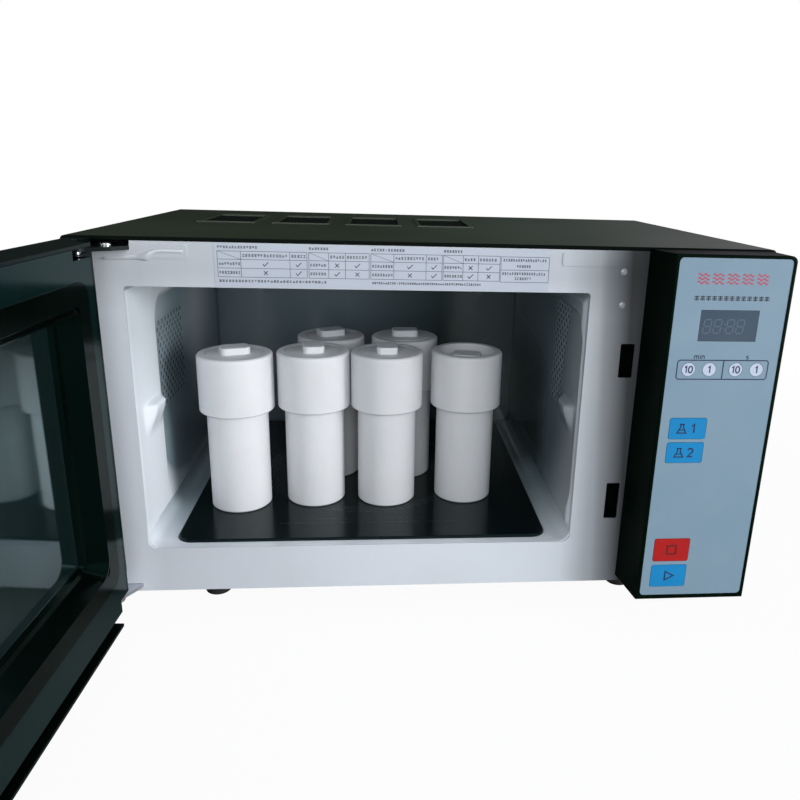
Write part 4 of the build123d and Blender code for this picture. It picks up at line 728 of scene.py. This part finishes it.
def makeKeyMarks(look):
    for key, word in look["words"].items():
        low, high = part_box(key)
        x, z = (low.x + high.x) / 2 / mm, (low.z + high.z) / 2 / mm
        y = low.y - look["lift"] * mm
        if key.startswith("key_program"):
            aside = look["flask"]["aside"]
            shapes = makeFlask(x - aside, z, look["flask"]) + writeMark(word, x + aside, z, *look["program"])
        elif key == "key_stop":
            half, weight = look["square"]
            corners = [(x - half, z - half), (x + half, z - half), (x + half, z + half), (x - half, z + half)]
            shapes = [ribbon(corners, weight, closed=True)]
        elif key == "key_start":
            back, ahead, half, weight = look["triangle"]
            corners = [(x - back, z - half), (x + ahead, z), (x - back, z + half)]
            shapes = [ribbon(corners, weight, closed=True)]
        else:
            shapes = writeMark(word, x, z, *look["time"])
        finish = "inkRedDeep" if key == "key_stop" else "inkNavy"
        addPrint(key + "_mark", shapes, facingFront(y), finish, key)


makePanelPrint(panelLook)
makeDigits(digitLook)
makeKeyMarks(keyLook)
print("stage: panel print")

# Rings and a fine rule etched on the ceramic plate
etchLook = {"rings": (84.0, 86.6, 89.4, 92.2), "line": 0.35, "rule": (-115.0, 24.7, -112.8), "lift": 0.02,
            "ticks": {"inset": (17.0, 22.0), "pitch": 3.1, "rise": 6.6, "length": 1.9, "line": 0.5,
                      "share": 0.8}}


def makeEtch(look):
    low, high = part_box("ceramic_plate")
    cx, cy = (low.x + high.x) / 2 / mm, (low.y + high.y) / 2 / mm
    shapes = [ribbon(arc(cx, cy, r, r, 0, 358, 180), look["line"], closed=True) for r in look["rings"]]
    a, b, y = look["rule"]
    shapes.append(ribbon([(a, y), (b, y)], look["line"]))
    rng = np.random.default_rng(3)
    ticks = look["ticks"]
    level = y + ticks["rise"]
    for x in np.arange(a + ticks["inset"][0], b - ticks["inset"][1], ticks["pitch"]):
        if rng.random() < ticks["share"]:
            shapes.append(ribbon([(x, level), (x + ticks["length"], level)], ticks["line"]))
    z = high.z + look["lift"] * mm

    def lying(p):
        return columns(p[:, 0], p[:, 1], np.full(len(p), z))
    addPrint("plate_etching", shapes, lying, "inkEtch", "cabinet")


makeEtch(etchLook)
print("stage: plate etching")

# Cavity side liners: the wall swells inward towards the pressed pocket, which falls back,
# and a rack bump stands out near the front
linerLook = {
    "lip": 7.0, "stand": 2.0, "base": 0.3, "swell": 2.6, "pocketFront": 54.0, "pocketTop": 233.0,
    "topRound": 18.0, "lowRound": 42.0, "edge": 3.0, "inset": (9.5, 3.5), "sharp": 1.2, "soft": 40.0,
    "middle": 150.0, "pocketRight": 6.0, "painted_light": (0.86, 0.90, 0.95),
    "bump": {"y": 33.0, "top": 160.0, "low": 136.0, "half": 20.0, "out": 6.0, "cap": 3.0, "flat": 1.6},
    "start": 0.2, "stop": 14.5, "fine": (110.0, 1.1), "coarse": 50, "rows": 150,
    "fade": (4.0, 6.0, 5.0, 5.0), "skin": 0.06,
}


def smoothStep(t):
    t = np.clip(t, 0, 1)
    return t * t * (3 - 2 * t)


def pocketEdge(y, z, low, look, pocket):
    # distance outside a rounded box that runs off the back and the floor
    upper = z > look["middle"]
    r = np.where(upper, look["topRound"], look["lowRound"])
    dy = pocket + r - y
    dz = np.where(upper, z - (look["pocketTop"] - r), (low + r) - z)
    return np.hypot(np.maximum(dy, 0), np.maximum(dz, 0)) + np.minimum(np.maximum(dy, dz), 0) - r


def linerHeight(y, z, outside, look, pocket):
    rise = look["base"] + look["swell"] * smoothStep(y / pocket)
    wall = look["base"] + (rise - look["base"]) * smoothStep(outside / look["edge"])
    b = look["bump"]
    side = np.clip(1 - np.abs(y - b["y"]) / b["half"], 0, 1)
    up = np.clip((z - b["low"]) / (b["top"] - b["low"]), 0, 1) * (z < b["top"]) \
        + np.clip(1 - (z - b["top"]) / b["cap"], 0, 1) * (z >= b["top"])
    return wall + b["out"] * smoothStep(side * b["flat"]) * smoothStep(up)


# Tone on the left, painted light and shade: 1 in the pocket, which lies in shade, and 0 out of it,
# painted light, with a soft edge that widens towards the floor, a paler band of painted light at the
# back and a paler crown of painted light
leftTone = {"low": (115.0, -50.0), "front": (130.0, -50.0), "shift": 20.0, "bandAt": (215.0, 75.0, 1.2),
            "bandUp": (105.0, 55.0), "band": 0.62, "crownUp": (185.0, 40.0), "crownBack": (114.0, -60.0),
            "crown": 0.36, "rise": (150.0, 70.0), "lift": 0.16, "under": 0.3}


def ramp(value, start, run):
    return smoothStep((value - start) / run)


def toneLeft(y, z, outside, look):
    low = ramp(z, *look["low"])
    width = linerLook["sharp"] + linerLook["soft"] * low
    tone = np.clip(0.5 - (outside + look["shift"] * low * ramp(y, *look["front"])) / width, 0, 1)
    place, half, reach = look["bandAt"]
    band = smoothStep(reach - np.abs(y - place) / half) * ramp(z, *look["bandUp"])
    crown = ramp(z, *look["crownUp"]) * ramp(y, *look["crownBack"])
    tone *= 1 - look["band"] * band - look["crown"] * crown * (1 - band)
    return tone + look["lift"] * ramp(z, *look["rise"]) * (tone < look["under"])


# Tone on the right, painted shade: it deepens towards the back, sooner higher up, and most at mid height
rightTone = {"rise": (70.0, 60.0), "base": 0.1, "gain": 0.35, "full": 0.9, "run": (120.0, 50.0),
             "deepBack": (85.0, 60.0), "deepAt": (110.0, 60.0, 1.6), "deep": 0.9}


def toneRight(y, z, look):
    gain = look["gain"] * ramp(z, *look["rise"])
    run = look["run"][0] - look["run"][1] * ramp(z, *look["rise"])
    tone = look["base"] + gain + (look["full"] - gain) * smoothStep(y / run)
    place, half, reach = look["deepAt"]
    return tone + look["deep"] * ramp(y, *look["deepBack"]) * smoothStep(reach - np.abs(z - place) / half)


def sideWall(side, lip):
    low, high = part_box("cavity_shell")
    return (low.x / mm + lip) if side < 0 else (high.x / mm - lip)


def makeLiner(name, look, side):
    low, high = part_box("cavity_shell")
    wall = sideWall(side, look["lip"])
    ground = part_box("ceramic_plate")[1].z / mm - look["stand"]
    z0, z1 = ground + look["inset"][0], high.z / mm - look["lip"] - look["inset"][1]
    front = low.y / mm + look["start"]
    deep = high.y / mm - low.y / mm - look["stop"]
    fine, step = look["fine"]
    y = np.concatenate([np.arange(0, fine, step), np.linspace(fine, deep, look["coarse"])])
    z = np.arange(z0, z1 + 0.01, (z1 - z0) / look["rows"])
    yy, zz = np.meshgrid(y, z, indexing="ij")
    pocket = look["pocketFront"] if side < 0 else look["pocketRight"]
    outside = pocketEdge(yy, zz, ground, look, pocket)
    h = linerHeight(yy, zz, outside, look, pocket)
    tone = toneLeft(yy, zz, outside, leftTone) if side < 0 else toneRight(yy, zz, rightTone)
    a, b, c, d = look["fade"]
    fade = smoothStep(np.minimum.reduce([yy / a, (deep - yy) / b, (zz - z0) / c, (z1 - zz) / d]))
    h = look["skin"] + (h - look["skin"]) * fade
    x = wall - side * h
    points = np.stack([x, yy + front, zz], axis=-1).reshape(-1, 3) * mm
    faces = gridQuads(len(y), len(z))
    if side > 0:
        faces = faces[:, ::-1]
    obj = addPiece(name, points, faces, "liner_left" if side < 0 else "liner_right", "cabinet")
    obj.data.attributes.new("tone", "FLOAT", "POINT").data.foreach_set("value", tone.ravel())
    return obj


# Liner enamel: the tone attribute runs from 0, painted light, by 1, the grey of the cavity, to 2, painted
# shade; the right liner is a copy darkened to 0.74, painted shade on the unlit right wall
def makeLinerEnamel(name, look, share):
    mat = makeFinish(name, look)
    tree, skin = skinOf(mat)
    tone = addNode(tree, "Attribute", {}, attribute_name="tone").outputs["Fac"]
    colour = blend(tree, rising(tree, tone, 0.0, 1.0), linerLook["painted_light"], baseOf(mat))
    colour = blend(tree, rising(tree, tone, 1.0, 2.0), colour, cavityTone["deep"])
    feed(tree, skin, {"Base Color": scaled(tree, colour, share)})
    return mat


mats["liner_left"] = makeLinerEnamel("liner_left", finishes["cavity_enamel"], 1.0)
mats["liner_right"] = makeLinerEnamel("liner_right", finishes["cavity_enamel"], 0.74)
makeLiner("cavity_liner_left", linerLook, -1)
makeLiner("cavity_liner_right", linerLook, 1)
print("stage: cavity liners")

# Perforated fields: brick rows of round holes, each cell a rim round a sunk disc painted dark, painted
# shade inside the hole; the right field's front edge leans back as it goes down
fieldLook = {
    -1: {"y": (60.0, 136.0), "z": (146.0, 219.0), "lean": 0.0},
    1: {"y": (36.0, 92.0), "z": (150.0, 247.0), "lean": 0.255},
    "pitch": (8.8, 4.3), "radius": 1.45, "lift": 0.75, "depth": 0.6, "lip": 7.0, "sides": 12,
    "start": 1.5, "rim": 1.12, "wall": 0.97, "edge": 0.1,
}


def makeField(name, look, side):
    own = look[side]
    wall = sideWall(side, look["lip"])
    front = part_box("cavity_shell")[0].y / mm - look["start"]
    pitch, r, n, lift = np.array(look["pitch"]), look["radius"], look["sides"], look["lift"]
    t = np.arange(n) * 2 * math.pi / n + math.pi / 4
    ring = columns(np.cos(t), np.sin(t))
    square = ring / np.abs(ring).max(1, keepdims=True)
    points, rims, holes = [], [], []
    base = 0
    i = np.arange(n)
    k = (i + 1) % n
    for j, z in enumerate(np.arange(own["z"][0], own["z"][1] - pitch[1], pitch[1])):
        start = own["y"][0] + own["lean"] * (own["z"][1] - z) + (pitch[0] / 2 if j % 2 else 0)
        for y in np.arange(start, own["y"][1] - pitch[0], pitch[0]):
            c = np.array([y, z]) + pitch / 2
            rows = [(square * pitch / 2 + c, lift), (ring * r * look["rim"] + c, lift),
                    (ring * r + c, lift - look["edge"]), (ring * r * look["wall"] + c, lift - look["depth"])]
            for flat, h in rows:
                points.append(columns(np.full(n, wall - side * h), flat[:, 0] + front, flat[:, 1]))
            for row in range(3):
                near, far = row * n + base, (row + 1) * n + base
                quad = columns(i + near, k + near, k + far, i + far)
                (rims if row < 1 else holes).extend(quad.tolist())
            holes.append((i + 3 * n + base).tolist())
            base += 4 * n
    faces = rims + holes
    if side < 0:
        faces = [f[::-1] for f in faces]
    obj = addPiece(name, np.vstack(points) * mm, faces, "cavity_enamel", "cabinet")
    # second slot: the sunk discs, painted shade inside the holes
    obj.data.materials.append(mats["holeDark"])
    marks = np.zeros(len(faces), int)
    marks[len(rims):] = 1
    obj.data.polygons.foreach_set("material_index", marks)
    return obj


makeField("cavity_holes_left", fieldLook, -1)
makeField("cavity_holes_right", fieldLook, 1)
print("stage: perforated fields")

# Small clear bumpers on the right flange: a flattened dome, r = R cos t, h = H sin t
bumperLook = {"places": ((133.1, 267.1), (134.1, 243.6)), "radius": 2.6, "height": 1.1, "rings": 8,
              "sides": 24, "cap": 0.985, "seat": 0.01}


def makeBumpers(look):
    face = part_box("outer_cover")[0].y / mm
    for name, (x, z) in zip(("flange_bumper_upper", "flange_bumper_lower"), look["places"]):
        t = np.linspace(0, math.pi / 2 * look["cap"], look["rings"])
        a = np.linspace(0, 2 * math.pi, look["sides"], endpoint=False)
        r = look["radius"] * np.cos(t)[:, None]
        h = look["height"] * np.sin(t)[:, None] * np.ones(len(a))
        points = np.stack([x + r * np.cos(a), face - look["seat"] - h, z + r * np.sin(a)], axis=-1)
        n, m = len(t), len(a)
        rows, cols = np.meshgrid(np.arange(n - 1), np.arange(m), indexing="ij")
        p = (rows * m + cols).ravel()
        q = (rows * m + (cols + 1) % m).ravel()
        faces = columns(p, q, q + m, p + m).tolist()
        faces.append(list(range((n - 1) * m, n * m)))
        addPiece(name, points.reshape(-1, 3) * mm, faces, "bumper", "cabinet")


makeBumpers(bumperLook)
print("stage: bumpers")

# A pressed stiffening rib by the hinge: a half-round ridge, h = H cos t across its width,
# along a line that steps up half way and dies away at its ends
ribLook = {"path": ((-219.0, 270.4), (-194.0, 271.2), (-189.5, 271.6), (-184.0, 274.8), (-180.0, 275.3),
                    (-163.5, 275.2)), "half": 1.5, "height": 0.75, "steps": 120, "across": 9,
           "sheet": 0.25, "soften": 9, "taper": 4.0, "knuckle": (30.0, 4.5, 0.9)}


def makeRib(name, look):
    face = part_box("usage_label")[1].y / mm - look["sheet"]
    path = np.array(look["path"])
    run = np.concatenate([[0], np.cumsum(np.hypot(*np.diff(path, axis=0).T))])
    s = np.linspace(0, run[-1], look["steps"])
    x, z = (np.interp(s, run, path[:, k]) for k in (0, 1))
    soft = np.hanning(look["soften"])
    z = np.convolve(np.pad(z, look["soften"] // 2, mode="edge"), soft / soft.sum(), mode="valid")
    t = np.linspace(-math.pi / 2, math.pi / 2, look["across"])
    ends = smoothStep(np.minimum(s, s[-1] - s) / look["taper"])
    place, spreadOut, gain = look["knuckle"]
    jog = 1 + gain * np.exp(-((s - place) / spreadOut) ** 2)
    half = look["half"] * jog[:, None] * np.sin(t)[None, :]
    h = look["height"] * (ends * jog)[:, None] * np.cos(t)[None, :]
    points = np.stack([x[:, None] + 0 * half, face - h, z[:, None] + half], axis=-1).reshape(-1, 3)
    addPiece(name, points * mm, gridQuads(len(s), len(t))[:, ::-1], "frame_enamel", "cabinet")


makeRib("flange_rib", ribLook)
print("stage: rib")

# Camera: pitch down, yaw to the right and roll in degrees; the focal length and the optical
# centre are shares of the picture's width
cam = {"place": (-0.0382278, -0.6422120, 0.3328382), "pitch": 16.876, "yaw": 5.6048, "roll": -1.7797,
       "focal": 0.907810, "centre": (0.557055, 0.485745), "sensor": 36.0, "clip": (0.05, 20.0)}


def standing(place, *axes):
    return Matrix.Translation(place) @ Matrix(np.stack(axes, axis=1).tolist()).to_4x4()


def makeCamera(cam):
    p, q, r = (math.radians(cam[k]) for k in ("pitch", "yaw", "roll"))
    forward = np.array([math.sin(q) * math.cos(p), math.cos(q) * math.cos(p), -math.sin(p)])
    right = np.array([math.cos(q), -math.sin(q), 0.0])
    down = np.cross(forward, right)
    imageRight = right * math.cos(r) + down * math.sin(r)
    imageDown = -right * math.sin(r) + down * math.cos(r)
    data = bpy.data.cameras.new("camera")
    data.sensor_width = cam["sensor"]
    data.lens = cam["sensor"] * cam["focal"]
    data.shift_x = 0.5 - cam["centre"][0]
    data.shift_y = cam["centre"][1] - 0.5
    data.clip_start, data.clip_end = cam["clip"]
    obj = addObject("camera", data)
    obj.matrix_world = standing(cam["place"], imageRight, -imageDown, -forward)
    bpy.context.scene.camera = obj


makeCamera(cam)

# Stage: a white floor that keeps its shadow, a white sky seen only by the camera, and
# lamps: a broad window low on the right, a weak fill, and a dim room behind
stageLook = {
    "floorHalf": 4.0, "floorSteps": 41, "skyDark": (0.022, 0.030, 0.028), "skyBright": (0.80, 0.84, 0.90),
    "window": (0.83, -0.50, 0.25), "skyStrength": 1.0, "floorTint": (0.34, 0.34, 0.335),
    "floorSeen": (0.9, 0.9, 0.9), "floorCloud": 3, "floorRough": (0.7, 0.85, 0.3, 0.7),
    "rear": (0.72, 0.68, 0.13), "rearTint": (0.42, 0.38, 0.44), "windowRun": (0.15, 1.0), "windowFall": 1.6,
    "rearRun": (0.86, 0.985),
    "fade": (0.42, 1.0), "share": 0.95,
    "lamps": (
        ("window", (1.66, -0.93, 0.42), (0.0, -0.1, 0.14), 0.8, 26.0, (0.975, 0.985, 1.0)),
        ("fill", (-0.30, -1.6, 0.72), (0.0, -0.1, 0.14), 1.2, 15.1, (0.93, 0.965, 1.0)),
        ("top", (0.1, -0.1, 1.6), (0.0, 0.0, 0.1), 0.9, 2.0, (0.95, 0.97, 1.0)),
    ),
}


def makeFloor(look):
    half, steps = look["floorHalf"], look["floorSteps"]
    line = np.linspace(-half, half, steps)
    xx, yy = np.meshgrid(line, line, indexing="ij")
    points = np.stack([xx, yy, np.zeros_like(xx)], axis=-1).reshape(-1, 3)
    data = bpy.data.meshes.new("floor")
    data.from_pydata(points.tolist(), [], gridQuads(steps, steps)[:, ::-1].tolist())
    mat = bpy.data.materials.new("floor")
    mat.use_nodes = True
    tree, skin = skinOf(mat)
    coord = objectCoord(tree)
    seen = addNode(tree, "LightPath", {}).outputs["Is Camera Ray"]
    feed(tree, skin, {"Base Color": blend(tree, seen, look["floorTint"], look["floorSeen"]),
                      "Roughness": spread(tree, noise(tree, coord, look["floorCloud"]), *look["floorRough"])})
    glow = addNode(tree, "Emission", {0: (1, 1, 1, 1), 1: 1.0})
    far = addNode(tree, "VectorMath", {0: coord}, operation="LENGTH").outputs[1]
    share = times(tree, seen, spread(tree, far, look["share"], 1.0, *look["fade"]))
    mix = addNode(tree, "MixShader", {0: share, 1: skin.outputs[0], 2: glow.outputs[0]})
    tree.links.new(mix.outputs[0], tree.nodes["Material Output"].inputs[0])
    data.materials.append(mat)
    addObject("floor", data)


def facing(tree, coord, aim):
    # cosine of the angle to a direction
    aim = np.array(aim) / np.linalg.norm(aim)
    return addNode(tree, "VectorMath", {0: coord, 1: tuple(aim)},
                   operation="DOT_PRODUCT").outputs[1]


def makeSky(look):
    world = bpy.data.worlds.new("sky")
    bpy.context.scene.world = world
    world.use_nodes = True
    tree = world.node_tree
    coord = addNode(tree, "TexCoord", {}).outputs["Generated"]
    towards = facing(tree, coord, look["window"])
    near = math2(tree, "POWER", rising(tree, towards, *look["windowRun"]), look["windowFall"])
    tone = blend(tree, near, look["skyDark"], look["skyBright"])
    towards = facing(tree, coord, look["rear"])
    tone = blend(tree, rising(tree, towards, *look["rearRun"]), tone, look["rearTint"])
    lit = addNode(tree, "Background", {0: tone, 1: look["skyStrength"]})
    white = addNode(tree, "Background", {0: (1, 1, 1, 1), 1: 1.0})
    seen = addNode(tree, "LightPath", {}).outputs["Is Camera Ray"]
    mix = addNode(tree, "MixShader", {0: seen, 1: lit.outputs[0], 2: white.outputs[0]})
    tree.links.new(mix.outputs[0], tree.nodes["World Output"].inputs[0])


def makeLamps(look):
    for name, place, aim, size, power, tint in look["lamps"]:
        data = bpy.data.lights.new(name, "AREA")
        data.size = size
        data.energy = power
        data.color = tint
        back = np.array(place) - np.array(aim)
        back /= np.linalg.norm(back)
        across = np.cross((0, 0, 1), back)
        across /= np.linalg.norm(across)
        addObject(name, data).matrix_world = standing(place, across, np.cross(back, across), back)


makeFloor(stageLook)
makeSky(stageLook)
makeLamps(stageLook)
bpy.context.scene.view_settings.view_transform = "Standard"
print("stage: camera, floor, sky and lamps")
